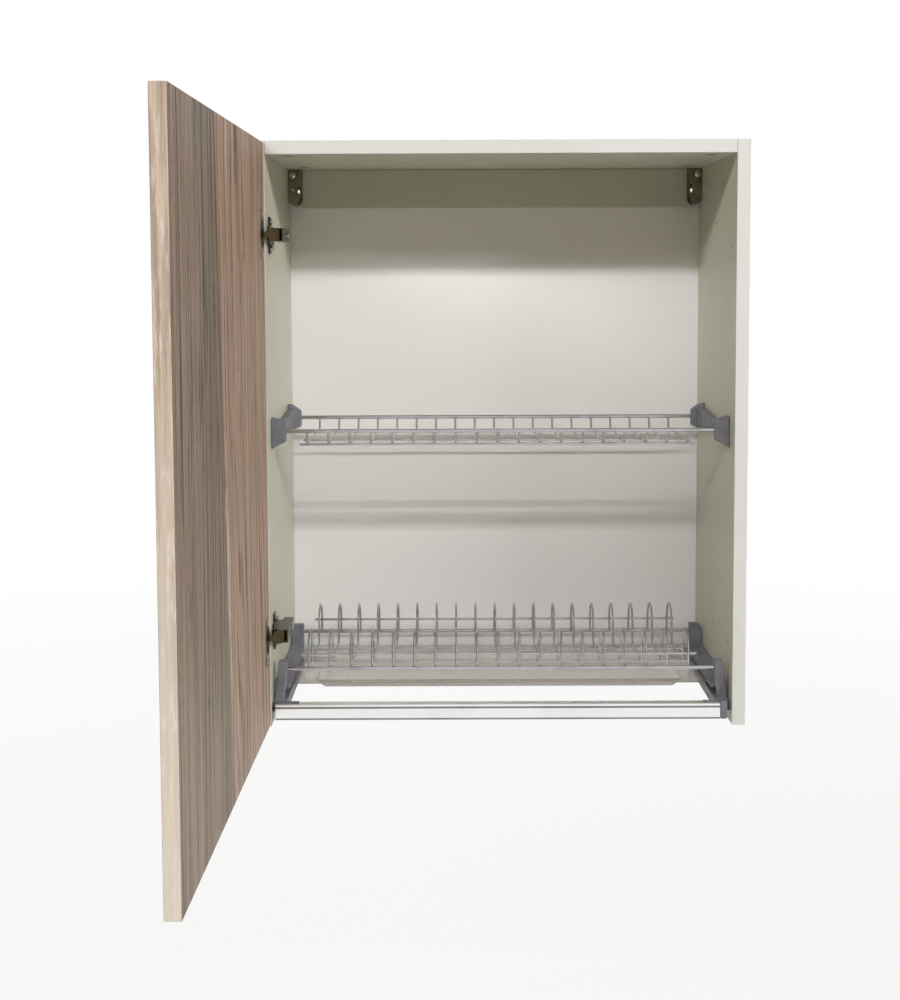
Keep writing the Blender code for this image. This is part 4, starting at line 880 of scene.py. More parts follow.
# A darker copy of the aluminium: painted shade for the groove and for the foot of the drip step.
ALUMINIUM_PAINTED_SHADE = replace(
    ALUMINIUM,
    name="aluminium in the groove",
    tone=srgb(150, 149, 147),
    dull=srgb(118, 117, 115),
    rough=0.4,
)
PLASTIC = Moulded("grey plastic", Slot.PLASTIC)
CLEAR = ClearSheet("clear plastic", Slot.CLEAR)


def add_object(mesh: bpy.types.Mesh, name: str) -> bpy.types.Object:
    """Puts a mesh in the scene as an object at the origin."""
    made = bpy.data.objects.new(name, mesh)
    bpy.context.scene.collection.objects.link(made)
    return made


def frozen(piece: bpy.types.Object, name: str) -> bpy.types.Mesh:
    """Turns an object with modifiers into a plain mesh and deletes the object.

    Args:
        piece: the object.
        name: the mesh's name.

    Returns:
        The mesh, as the modifiers leave it.
    """
    bpy.context.view_layer.update()
    graph = bpy.context.evaluated_depsgraph_get()
    mesh = bpy.data.meshes.new_from_object(piece.evaluated_get(graph), depsgraph=graph)
    mesh.name = name
    bpy.data.objects.remove(piece)
    return mesh


def mesh_of(bm: bmesh.types.BMesh, name: str) -> bpy.types.Mesh:
    """Turns a mesh under construction into a plain one and frees it."""
    mesh = bpy.data.meshes.new(name)
    bm.to_mesh(mesh)
    bm.free()
    return mesh


def prism(near: Path, far: Path) -> bmesh.types.BMesh:
    """A solid between two outlines.

    Args:
        near: the points of one end's outline.
        far: the points of the other end's outline, as many and in the same order.

    Returns:
        The solid, which the caller frees.
    """
    bm = bmesh.new()
    start, end = ([bm.verts.new(point) for point in ring] for ring in (near, far))
    bm.faces.new(start[::-1])
    bm.faces.new(end)
    for i, _ in enumerate(start):
        j = (i + 1) % len(start)
        bm.faces.new((start[i], start[j], end[j], end[i]))
    bmesh.ops.recalc_face_normals(bm, faces=bm.faces)
    return bm


def carved(mesh: bpy.types.Mesh, name: str, cutter: bmesh.types.BMesh) -> bpy.types.Mesh:
    """Takes a solid out of a mesh.

    Args:
        mesh: what is carved.
        name: the name of the result.
        cutter: the solid that is taken out, which is freed.

    Returns:
        What is left of the mesh.
    """
    tool = add_object(mesh_of(cutter, "cutter"), "cutter")
    piece = add_object(mesh, name)
    cut = piece.modifiers.new("cut", "BOOLEAN")
    cut.operation = "DIFFERENCE"
    cut.solver = "EXACT"
    cut.object = tool
    left = frozen(piece, name)
    bpy.data.objects.remove(tool)
    return left


def solid_copy(node: str) -> bmesh.types.BMesh:
    """A CAD node's solid, with its loose triangles joined and its flat faces made whole.

    Args:
        node: the CAD node's name.

    Returns:
        The solid, which the caller frees.
    """
    source = frame["nodes"][node].data
    bm = bmesh.new()
    corners = [bm.verts.new(v.co) for v in source.vertices]
    for polygon in source.polygons:
        bm.faces.new([corners[i] for i in polygon.vertices])
    bmesh.ops.remove_doubles(bm, verts=bm.verts, dist=JOIN_DISTANCE)
    bmesh.ops.dissolve_limit(
        bm, angle_limit=FLAT_WITHIN, verts=bm.verts[:], edges=bm.edges[:], delimit={"NORMAL"}
    )
    return bm


def moulded(bm: bmesh.types.BMesh, name: str, grain: float, rounds: int) -> bpy.types.Mesh:
    """Melts a solid's edges into the soft roundings of a moulding.

    Args:
        bm: the solid, which is freed.
        name: the mesh's name.
        grain: the size of the mesh's faces.
        rounds: how often the edges are softened.

    Returns:
        The rounded mesh.
    """
    piece = add_object(mesh_of(bm, name), name)
    cast = piece.modifiers.new("cast", "REMESH")
    cast.mode = "VOXEL"
    cast.voxel_size = grain
    cast.use_smooth_shade = True
    soften = piece.modifiers.new("soften", "SMOOTH")
    soften.factor = 0.5
    soften.iterations = rounds
    return frozen(piece, name)


def bored_faces(node: str, facing: Point, skin: float = 0.0011) -> Inside:
    """The test that tells the faces inside a board's bores from its outer ones.

    Args:
        node: the board's CAD node.
        facing: the direction through the board's thickness.
        skin: how near an outer face counts as outer.

    Returns:
        The test, which takes a face's centre.
    """
    low, high = (Vector(corner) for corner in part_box(node))
    through = Vector(facing).normalized()
    depths = [through.dot(v.co) for v in frame["nodes"][node].data.vertices]
    foot, top = min(depths) + skin, max(depths) - skin
    sides = [i for i in range(3) if abs(through[i]) < 0.5]

    def inside(centre: Vector) -> bool:
        """Whether a face's centre lies away from every outer face."""
        beside = all(low[i] + skin < centre[i] < high[i] - skin for i in sides)
        return beside and foot < through.dot(centre) < top

    return inside


def eased(bm: bmesh.types.BMesh, name: str, width: float, steps: int = 2) -> bpy.types.Mesh:
    """Rounds a solid's sharp edges.

    Args:
        bm: the solid, which is freed.
        name: the mesh's name.
        width: how far the rounding reaches from an edge.
        steps: how many faces the rounding has.

    Returns:
        The rounded mesh, shaded smooth over its roundings.
    """
    mesh = mesh_of(bm, name)
    mesh.polygons.foreach_set("use_smooth", [True] * len(mesh.polygons))
    piece = add_object(mesh, name)
    bevel = piece.modifiers.new("ease", "BEVEL")
    bevel.width = width
    bevel.segments = steps
    bevel.limit_method = "ANGLE"
    bevel.angle_limit = EASED_FROM
    bevel.use_clamp_overlap = True
    bevel.harden_normals = True
    return frozen(piece, name)


def dress(
    mesh: bpy.types.Mesh,
    name: str,
    body: Body,
    finishes: Sequence[Finish],
    nodes: Sequence[str],
    choose: Choice | None = None,
) -> bpy.types.Object:
    """Makes a finished piece that rides on its body.

    Args:
        mesh: the piece's mesh, in place.
        name: the piece's name.
        body: the body it rides on.
        finishes: its finishes, the main one first.
        nodes: the CAD nodes that it stands for.
        choose: picks a finish for a face from its centre and normal; without it a face keeps its own.

    Returns:
        The piece.
    """
    mesh.materials.clear()
    for finish in finishes:
        mesh.materials.append(finish.material())
    for polygon in mesh.polygons if choose else ():
        polygon.material_index = choose(polygon.center, polygon.normal)
    piece = add_object(mesh, name)
    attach(piece, body.value)
    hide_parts(*nodes)
    LOG.info("%s: %d faces on %s", name, len(mesh.polygons), body.value)
    return piece


class Geometry(Tree):
    """A Geometry Nodes tree with one mesh in and one out."""

    def __init__(self, name: str, inputs: dict[str, str]) -> None:
        """Makes the tree.

        Args:
            name: the tree's name.
            inputs: the named inputs and their socket types.
        """
        group = bpy.data.node_groups.new(name, "GeometryNodeTree")
        super().__init__(group)
        face = group.interface
        face.new_socket("Geometry", in_out="INPUT", socket_type="NodeSocketGeometry")
        face.new_socket("Geometry", in_out="OUTPUT", socket_type="NodeSocketGeometry")
        self.identifiers = {
            title: face.new_socket(title, in_out="INPUT", socket_type=kind).identifier
            for title, kind in inputs.items()
        }
        self.given = self.node("NodeGroupInput")

    def value(self, title: str) -> Value:
        """One of the tree's own inputs."""
        return Value(self, self.given.outputs[title])

    def close(self, geometry: Value) -> None:
        """Joins the result to the output."""
        self.node("NodeGroupOutput", None, {"Geometry": geometry})

    def run(self, mesh: bpy.types.Mesh, name: str, values: dict[str, object]) -> bpy.types.Mesh:
        """Puts a mesh through the tree.

        Args:
            mesh: what goes in.
            name: the name of what comes out.
            values: the tree's inputs, by name.

        Returns:
            A plain mesh.
        """
        piece = add_object(mesh, name)
        modifier = piece.modifiers.new(name, "NODES")
        modifier.node_group = self.nodes
        for title, value in values.items():
            modifier[self.identifiers[title]] = value
        return frozen(piece, name)


@dataclass
class WireShop:
    """Sweeps round wire along paths, repeats it in a row and sets beads where wires are welded."""

    sides: int = 14
    bead_segments: int = 8
    bead_rings: int = 5
    tree: Geometry = field(init=False)
    bead_tree: Geometry = field(init=False)

    def __post_init__(self) -> None:
        """Builds both trees."""
        self.tree = self._wire_tree()
        self.bead_tree = self._bead_tree()

    @staticmethod
    def _wire_tree() -> Geometry:
        """The tree that turns a path into a round wire and sets copies of it in a row."""
        inputs = {
            "Radius": "NodeSocketFloat",
            "Sides": "NodeSocketInt",
            "Count": "NodeSocketInt",
            "Step": "NodeSocketVector",
            "Finish": "NodeSocketMaterial",
        }
        tree = Geometry("wire row", inputs)
        path = tree.add("GeometryNodeMeshToCurve", None, {"Mesh": tree.value("Geometry")})
        circle = {"Resolution": tree.value("Sides"), "Radius": tree.value("Radius")}
        ring = tree.add("GeometryNodeCurvePrimitiveCircle", None, circle)
        swept = {"Curve": path, "Profile Curve": ring, "Fill Caps": True}
        wire = tree.add("GeometryNodeCurveToMesh", None, swept)
        stepped = {"Count": tree.value("Count"), "Offset": tree.value("Step")}
        row = tree.add("GeometryNodeMeshLine", {"mode": "OFFSET", "count_mode": "TOTAL"}, stepped)
        copies = tree.add("GeometryNodeInstanceOnPoints", None, {"Points": row, "Instance": wire})
        real = tree.add("GeometryNodeRealizeInstances", None, {"Geometry": copies})
        smooth = tree.add("GeometryNodeSetShadeSmooth", None, {"Geometry": real, "Shade Smooth": True})
        finish = {"Geometry": smooth, "Material": tree.value("Finish")}
        tree.close(tree.add("GeometryNodeSetMaterial", None, finish))
        return tree

    def _bead_tree(self) -> Geometry:
        """The tree that sets a small round bead at each point."""
        tree = Geometry("weld beads", {"Radius": "NodeSocketFloat", "Finish": "NodeSocketMaterial"})
        ball = {"Segments": self.bead_segments, "Rings": self.bead_rings, "Radius": tree.value("Radius")}
        bead = tree.add("GeometryNodeMeshUVSphere", None, ball)
        points = tree.value("Geometry")
        copies = tree.add("GeometryNodeInstanceOnPoints", None, {"Points": points, "Instance": bead})
        real = tree.add("GeometryNodeRealizeInstances", None, {"Geometry": copies})
        finish = {"Geometry": real, "Material": tree.value("Finish")}
        tree.close(tree.add("GeometryNodeSetMaterial", None, finish))
        return tree

    def beads(self, name: str, places: Path, radius: float, finish: Finish) -> bpy.types.Mesh:
        """The weld beads where wires cross.

        Args:
            name: the mesh's name.
            places: the middle of each bead.
            radius: their radius.
            finish: their finish.

        Returns:
            The mesh.
        """
        points = bpy.data.meshes.new(name + "_points")
        points.from_pydata([tuple(place) for place in places], [], [])
        return self.bead_tree.run(points, name, {"Radius": radius, "Finish": finish.material()})

    def wire(
        self,
        name: str,
        path: Path,
        radius: float,
        finish: Finish,
        count: int = 1,
        step: float = 0.0,
        sides: int | None = None,
    ) -> bpy.types.Mesh:
        """A row of round wires.

        Args:
            name: the mesh's name.
            path: the points of the first wire's middle line.
            radius: the wire's radius.
            finish: its finish.
            count: how many wires stand in the row.
            step: the distance between them, along X.
            sides: how many faces go round a wire.

        Returns:
            The mesh.
        """
        line = bpy.data.meshes.new(name + "_path")
        line.from_pydata([tuple(p) for p in path], [(i, i + 1) for i in range(len(path) - 1)], [])
        values = {
            "Radius": radius,
            "Sides": sides or self.sides,
            "Count": count,
            "Step": (step, 0.0, 0.0),
            "Finish": finish.material(),
        }
        return self.tree.run(line, name, values)


def joined(parts: Sequence[tuple[bpy.types.Mesh, int]], name: str) -> bpy.types.Mesh:
    """Several meshes as one.

    Args:
        parts: each mesh with the number of its finish.
        name: the name of the whole.

    Returns:
        The mesh, smooth but for its sharp edges.
    """
    bm = bmesh.new()
    for mesh, finish in parts:
        known = len(bm.faces)
        bm.from_mesh(mesh)
        bm.faces.ensure_lookup_table()
        for face in bm.faces[known:]:
            face.material_index = finish
    whole = mesh_of(bm, name)
    whole.polygons.foreach_set("use_smooth", [True] * len(whole.polygons))
    whole.set_sharp_from_angle(angle=CREASED_FROM)
    return whole


def rounded_path(corners: Path, radii: Sequence[float], steps: int = 6) -> list[Vector]:
    """A bent wire's middle line.

    Args:
        corners: the points where its straight stretches would meet.
        radii: the bend at each inner corner.
        steps: how many pieces a quarter bend has.

    Returns:
        The points along it.
    """
    points = [Vector(corner) for corner in corners]
    line = [points[0]]
    for before, corner, after, radius in zip(points, points[1:], points[2:], radii):
        back, ahead = (before - corner).normalized(), (after - corner).normalized()
        half = back.angle(ahead) / 2
        reach = radius / math.tan(half)
        centre = corner + (back + ahead).normalized() * (radius / math.sin(half))
        start, end = corner + back * reach - centre, corner + ahead * reach - centre
        sweep = math.pi - 2 * half
        count = max(2, round(steps * sweep / (math.pi / 2)))
        for step in range(count + 1):
            turn = sweep * step / count
            line.append(centre + (start * math.sin(sweep - turn) + end * math.sin(turn)) / math.sin(sweep))
    return [*line, points[-1]]


@dataclass
class Rack:
    """A welded rack: a row of bent cross wires on two rods, with thin wires laid along it."""

    shop: WireShop
    wires: int = 19
    pitch: float = 0.0264
    first: float = -0.2404
    wire: float = 0.0013
    rod: float = 0.0025
    rod_sides: int = 20
    thin: float = 0.0015
    overhang: float = 0.010
    bead: float = 0.0019
    pressed: float = 0.0003
    bend: float = 0.005

    def weld(self, node: str, body: Body, section: Path, rods: Path, lines: Path, welds: Path) -> None:
        """Makes the rack and dresses it in place of its CAD node.

        Args:
            node: the rack's CAD node.
            body: the body it rides on.
            section: the middle line of the first cross wire.
            rods: the depth and height of each rod.
            lines: the depth and height of each thin wire.
            welds: the depth and height of each weld on a cross wire.
        """
        shop = self.shop
        left, right = (corner[0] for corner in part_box(node))
        # The cross wires take the darker chrome copy with painted shade; the rods and laid wires take the
        # plain chrome.
        parts = [(shop.wire("cross", section, self.wire, CROSS_WIRE_SHADED_CHROME, self.wires, self.pitch), 1)]
        for y, z in rods:
            ends = [(left, y, z), (right, y, z)]
            parts.append((shop.wire("rod", ends, self.rod, CHROME, sides=self.rod_sides), 0))
        last = self.first + self.pitch * (self.wires - 1)
        for y, z in lines:
            ends = [(self.first - self.overhang, y, z), (last + self.overhang, y, z)]
            parts.append((shop.wire("thin", ends, self.thin, CHROME), 0))
        places = [(self.first + i * self.pitch, y, z) for i in range(self.wires) for y, z in welds]
        # The weld beads take the same chrome with painted shade as the cross wires.
        parts.append((shop.beads("welds", places, self.bead, CROSS_WIRE_SHADED_CHROME), 1))
        name = node + "_wires"
        dress(joined(parts, name), name, body, (CHROME, CROSS_WIRE_SHADED_CHROME), (node,))


@dataclass
class CupRack(Rack):
    """The upper rack: a shallow trough of cross wires on two rods."""

    front: float = -0.2633
    rear: float = -0.0663
    level: float = 0.004
    sink: float = 0.0155
    front_slope: float = 0.004
    rear_slope: float = 0.001
    weld_inside: float = 0.0012
    weld_drop: float = 0.0002
    floor_rods: tuple[float, ...] = (-0.2488, -0.2003, -0.0748)

    def build(self) -> None:
        """Builds the rack in place of its CAD node."""
        floor, top = self.level - self.sink, self.level - self.wire
        corners = [
            (self.front, top),
            (self.front + self.rod + self.front_slope, floor),
            (self.rear - self.rod - self.rear_slope, floor),
            (self.rear, top),
        ]
        section = rounded_path([(self.first, y, z) for y, z in corners], (self.bend, self.bend))
        rods = [(self.front, self.level), (self.rear, self.level)]
        lines = [(y, floor - self.wire - self.thin + self.pressed) for y in self.floor_rods]
        welds = [(y, floor - self.wire) for y in self.floor_rods]
        inside = (self.front + self.weld_inside, self.rear - self.weld_inside)
        welds += [(y, top - self.weld_drop) for y in inside]
        self.weld("cup_rack", Body.CUP_RACK, section, rods, lines, welds)


@dataclass
class PlateRack(Rack):
    """The lower rack: cross wires bent into two rows of arches with a sunk floor between them."""

    front: float = -0.2733
    rear: float = -0.0633
    level: float = -0.293
    arch: float = 0.050
    arch_round_share: float = 0.999
    arch_steps: int = 8
    rise: float = 0.043
    sink: float = 0.0045
    rim_rise: float = 0.0165
    weld_outside: float = 0.0004
    floor_rods: tuple[float, ...] = (-0.2113, -0.1433)

    def build(self) -> None:
        """Builds the rack in place of its CAD node."""
        floor, top = self.level - self.sink, self.level + self.rise
        front_leg, rear_leg = self.front + self.rod, self.rear - self.rod
        corners = [
            (front_leg, self.level),
            (front_leg, top),
            (front_leg + self.arch, top),
            (front_leg + self.arch, floor),
            (rear_leg - self.arch, floor),
            (rear_leg - self.arch, top),
            (rear_leg, top),
            (rear_leg, self.level),
        ]
        crown = self.arch / 2 * self.arch_round_share
        radii = (crown, crown, self.bend, self.bend, crown, crown)
        section = rounded_path([(self.first, y, z) for y, z in corners], radii, self.arch_steps)
        beside = self.wire + self.thin - self.pressed
        rim = self.level + self.rim_rise
        rods = [(self.front, self.level), (self.rear, self.level)]
        lines = [(front_leg + beside, rim), (rear_leg + beside, rim)]
        lines += [(y, floor - beside) for y in self.floor_rods]
        welds = [(front_leg + self.wire, rim), (rear_leg + self.wire, rim)]
        welds += [(y, floor - self.wire) for y in self.floor_rods]
        welds += [(front_leg - self.weld_outside, self.level), (rear_leg + self.weld_outside, self.level)]
        self.weld("plate_rack", Body.PLATE_RACK, section, rods, lines, welds)


@dataclass(frozen=True)
class ScrewShape:
    """The sizes of a cross-head screw, and what its thread, head and driver's cross take of them."""

    head: float
    rise: float
    shank: float
    length: float
    pitch: float = 0.0009
    root_share: float = 0.8
    tip_share: float = 0.5
    lead_share: float = 0.6
    neck_share: float = 0.1
    seat_share: float = 0.96
    bevel_share: float = 0.08
    rim_share: float = 0.3
    dome_steps: int = 6
    dome_fullness: float = 0.55
    arm_share: float = 0.6
    slot_share: float = 0.15
    slot_foot_share: float = 0.7
    slot_floor_share: float = 0.2
    slot_top_share: float = 1.2

    def profile(self) -> list[Pair]:
        """The screw's outline from tip to crown, as distances from its axis and heights."""
        root = self.shank * self.root_share
        outline = [(0.0, -self.length), (root * self.tip_share, -self.length)]
        for turn in range(int((self.length - self.pitch) / self.pitch)):
            foot = -self.length + self.pitch * (turn + self.lead_share)
            outline += [(root, foot), (self.shank, foot + self.pitch / 2)]
        outline += [(root, -self.pitch * self.neck_share), (root, 0.0)]
        outline += [(self.head * self.seat_share, 0.0), (self.head, self.rise * self.bevel_share)]
        outline.append((self.head, self.rise * self.rim_share))
        for step in range(1, self.dome_steps):
            angle = math.pi / 2 * step / self.dome_steps
            height = self.rise * (self.rim_share + (1 - self.rim_share) * math.sin(angle))
            outline.append((self.head * math.cos(angle) ** self.dome_fullness, height))
        return [*outline, (0.0, self.rise)]

    def slot(self) -> bmesh.types.BMesh:
        """The tapered cross that the driver fits in."""
        arm, half = self.head * self.arm_share, self.head * self.slot_share
        quarter = [(arm, -half), (arm, half), (half, half)]
        cross = []
        for _ in range(4):
            cross += quarter
            quarter = [(-y, x) for x, y in quarter]
        taper = self.slot_foot_share
        foot = [(x * taper, y * taper, self.rise * self.slot_floor_share) for x, y in cross]
        return prism(foot, [(x, y, self.rise * self.slot_top_share) for x, y in cross])


@dataclass
class ScrewShop:
    """Turns screws with a driver's cross in the head and sets them in place."""

    sides: int = 20
    tree: Geometry = field(init=False)

    def __post_init__(self) -> None:
        """Builds the tree: the screw at each point, facing one way and turned at random."""
        inputs = {
            "Screw": "NodeSocketObject",
            "Facing": "NodeSocketVector",
            "Seed": "NodeSocketInt",
            "Finish": "NodeSocketMaterial",
        }
        tree = Geometry("screws", inputs)
        shape = tree.add("GeometryNodeObjectInfo", None, {"Object": tree.value("Screw")}, "Geometry")
        facing = tree.add(
            "FunctionNodeAlignRotationToVector", {"axis": "Z"}, {"Vector": tree.value("Facing")}
        )
        limits = {"Min": 0.0, "Max": math.pi / 2, "Seed": tree.value("Seed")}
        angle = tree.add("FunctionNodeRandomValue", {"data_type": "FLOAT"}, limits)
        turn = tree.add("FunctionNodeAxisAngleToRotation", None, {"Axis": UP, "Angle": angle})
        turns = {"Rotation": facing, "Rotate By": turn}
        spin = tree.add("FunctionNodeRotateRotation", {"rotation_space": "LOCAL"}, turns)
        given = {"Points": tree.value("Geometry"), "Instance": shape, "Rotation": spin}
        copies = tree.add("GeometryNodeInstanceOnPoints", None, given)
        real = tree.add("GeometryNodeRealizeInstances", None, {"Geometry": copies})
        finish = {"Geometry": real, "Material": tree.value("Finish")}
        tree.close(tree.add("GeometryNodeSetMaterial", None, finish))
        self.tree = tree

    def screw(self, shape: ScrewShape) -> bpy.types.Object:
        """One screw, upright, with the seat of its head at the origin.

        Args:
            shape: its sizes.

        Returns:
            The screw.
        """
        bm = bmesh.new()
        outline = [bm.verts.new((r, 0.0, z)) for r, z in shape.profile()]
        turned = [*outline, *(bm.edges.new(pair) for pair in zip(outline, outline[1:]))]
        middle = (0.0, 0.0, 0.0)
        bmesh.ops.spin(
            bm, geom=turned, cent=middle, axis=UP, angle=math.tau, steps=self.sides, use_merge=True
        )
        bmesh.ops.remove_doubles(bm, verts=bm.verts, dist=JOIN_DISTANCE)
        bmesh.ops.recalc_face_normals(bm, faces=bm.faces)
        return add_object(carved(mesh_of(bm, "screw"), "cross_screw", shape.slot()), "cross_screw")

    def place(
        self, shape: ScrewShape, nodes: Sequence[str], facing: Point, finish: Finish
    ) -> bpy.types.Mesh:
        """Screws in place of CAD nodes.

        Args:
            shape: the screws' sizes.
            nodes: the CAD nodes.
            facing: where the heads face.
            finish: the screws' finish.

        Returns:
            The mesh.
        """
        way = Vector(facing).normalized()
        points = bpy.data.meshes.new("seats")
        boxes = [[Vector(corner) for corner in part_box(node)] for node in nodes]
        reach = (shape.length + shape.rise) / 2 - shape.rise
        points.from_pydata([(low + high) / 2 + way * reach for low, high in boxes], [], [])
        screw = self.screw(shape)
        values = {"Screw": screw, "Facing": tuple(way), "Seed": len(nodes), "Finish": finish.material()}
        mesh = self.tree.run(points, "screws", values)
        bpy.data.objects.remove(screw)
        return mesh


@dataclass
class Screws:
    """Every screw and adjuster, one piece a body."""

    shop: ScrewShop
    cup: ScrewShape = ScrewShape(head=0.0032, rise=0.0012, shank=0.0016, length=0.009)
    plate: ScrewShape = ScrewShape(head=0.0038, rise=0.0018, shank=0.0022, length=0.0125)
    arm: ScrewShape = ScrewShape(head=0.0034, rise=0.0018, shank=0.0018, length=0.009)
    bracket: ScrewShape = ScrewShape(head=0.0034, rise=0.0018, shank=0.0018, length=0.0145)
    adjuster: ScrewShape = ScrewShape(head=0.0045, rise=0.0012, shank=0.0025, length=0.010, pitch=0.0010)

    def build(self) -> None:
        """Sets the screws of the door and those of the cabinet."""
        cups = self._named("cup_screw")
        mesh = self.shop.place(self.cup, cups, DOOR_INNER, SCREW_NICKEL)
        dress(joined([(mesh, 0)], "door_screws"), "door_screws", Body.DOOR, (SCREW_NICKEL,), cups)
        sets = (
            (self.plate, self._named("plate_screw"), RIGHT, SCREW_NICKEL),
            (self.arm, self._named("arm_screw"), RIGHT, SCREW_NICKEL),
            (self.bracket, self._named("bracket_screw", "left"), RIGHT, ZINC),
            (self.bracket, self._named("bracket_screw", "right"), LEFT, ZINC),
            (self.adjuster, self._named("hanger_adjuster"), FRONT, ZINC),
        )
        parts = [(self.shop.place(*given), int(given[-1] is ZINC)) for given in sets]
        nodes = [node for _, group, _, _ in sets for node in group]
        finishes = (SCREW_NICKEL, ZINC)
        dress(joined(parts, "cabinet_screws"), "cabinet_screws", Body.CABINET, finishes, nodes)

    @staticmethod
    def _named(*words: str) -> list[str]:
        """The CAD nodes whose names hold all the words."""
        return sorted(node for node in frame["nodes"] if all(word in node for word in words))


@dataclass
class Carcass:
    """The two sides, the top, the thin back and the rail."""

    ease: float = 0.0006
    back_ease: float = 0.0003
    tape_depth: float = 0.0005
    foot_depth: float = 0.001

    def build(self) -> None:
        """Dresses each board."""
        _, front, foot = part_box("left_side")[0]
        boards = (("left_side", RIGHT), ("right_side", RIGHT), ("top_panel", UP), ("rear_rail", BACK))
        for node, facing in boards:
            bored = bored_faces(node, facing)

            def choose(centre: Vector, normal: Vector, bored: Inside = bored) -> int:
                """Chips in a bore, tape on the front edge and on the foot of a side, laminate elsewhere."""
                if bored(centre):
                    return 2
                ahead = normal.y < -0.5 and centre.y < front + self.tape_depth
                return int(ahead or abs(normal.z) > 0.9 and centre.z < foot + self.foot_depth)

            mesh = eased(solid_copy(node), node + "_board", self.ease)
            dress(mesh, node + "_board", Body.CABINET, (CREAM, TAPE, CHIPS), (node,), choose)
        mesh = eased(solid_copy("back_panel"), "back_board", self.back_ease)
        dress(mesh, "back_board", Body.CABINET, (BACK_BOARD,), ("back_panel",))


@dataclass
class Door:
    """The door panel with its edge tape and its two bores for the hinge cups."""

    ease: float = 0.0008

    def build(self) -> None:
        """Dresses the panel."""
        bored = bored_faces("door_panel", DOOR_INNER)

        def choose(centre: Vector, normal: Vector) -> int:
            """Chips in a bore, tape on the four narrow sides, pine elsewhere."""
            return 2 if bored(centre) else int(abs(normal.x) < 0.5)

        mesh = eased(solid_copy("door_panel"), "door_board", self.ease)
        dress(mesh, "door_board", Body.DOOR, (PINE, PINE_TAPE, CHIPS), ("door_panel",), choose)


@dataclass
class FrontProfile:
    """The aluminium bar across the front: a lip on top, a groove below it and a drip step at the foot.

    Depths are measured back from the front, drops down from the top and rises up from the foot.
    """

    height: float = 0.0199
    ease: float = 0.00012
    wall: float = 0.0015
    web_depth: float = 0.0029
    nose_depths: Pair = (0.0014, 0.0005)
    nose_drops: Pair = (0.0003, 0.0010)
    groove_depth: float = 0.0012
    groove_drops: tuple[float, ...] = (0.0029, 0.0032, 0.0049, 0.0053)
    step_depths: Pair = (0.0003, 0.0013)
    step_rises: tuple[float, ...] = (0.0031, 0.0026, 0.0024)
    toe_depth: float = 0.0019
    toe_rise: float = 0.0003
    # Where the painted shade lies: its drops in the groove, its depths back from the front and its rise
    # above the foot.
    shade_drops: Pair = (0.0030, 0.0051)
    shade_depths: Pair = (0.0004, 0.0024)
    shade_rise: float = 0.00259

    def section(self, front: float, rear: float, foot: float) -> list[Pair]:
        """The bar's outline, from the top of its back round by the front.

        Args:
            front: the depth of its front.
            rear: the depth of its back.
            foot: the height of its underside.

        Returns:
            The depth and height of each point.
        """
        top, web = foot + self.height, front + self.web_depth
        groove, step = front + self.groove_depth, front + self.step_depths[1]
        lip, upper, lower, sill = (top - drop for drop in self.groove_drops)
        face, edge, under = (foot + rise for rise in self.step_rises)
        return [
            (rear, top),
            (front + self.nose_depths[0], top),
            (front + self.nose_depths[1], top - self.nose_drops[0]),
            (front, top - self.nose_drops[1]),
            (front, lip),
            (groove, upper),
            (groove, lower),
            (front, sill),
            (front, face),
            (front + self.step_depths[0], edge),
            (step, under),
            (step, foot + self.toe_rise),
            (front + self.toe_depth, foot),
            (rear, foot),
            (rear, foot + self.wall),
            (web, foot + self.wall),
            (web, top - self.wall),
            (rear, top - self.wall),
        ]

    def build(self) -> None:
        """Draws the bar's section out to the length of its CAD node."""
        (left, front, foot), (right, rear, _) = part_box("front_profile")
        section = self.section(front, rear, foot)
        bar = prism(*([(x, y, z) for y, z in section] for x in (left, right)))
        upper, lower = (foot + self.height - drop for drop in self.shade_drops)
        groove, toe = (front + depth for depth in self.shade_depths)

        def choose(centre: Vector, normal: Vector) -> int:
            """Painted shade, as a darker aluminium, in the groove and under the drip step."""
            if centre.y > groove and lower < centre.z < upper:
                return 1
            return int(centre.z < foot + self.shade_rise and centre.y < toe)

        mesh = eased(bar, "front_profile_bar", self.ease)
        finishes = (ALUMINIUM, ALUMINIUM_PAINTED_SHADE)
        dress(mesh, "front_profile_bar", Body.CABINET, finishes, ("front_profile",), choose)


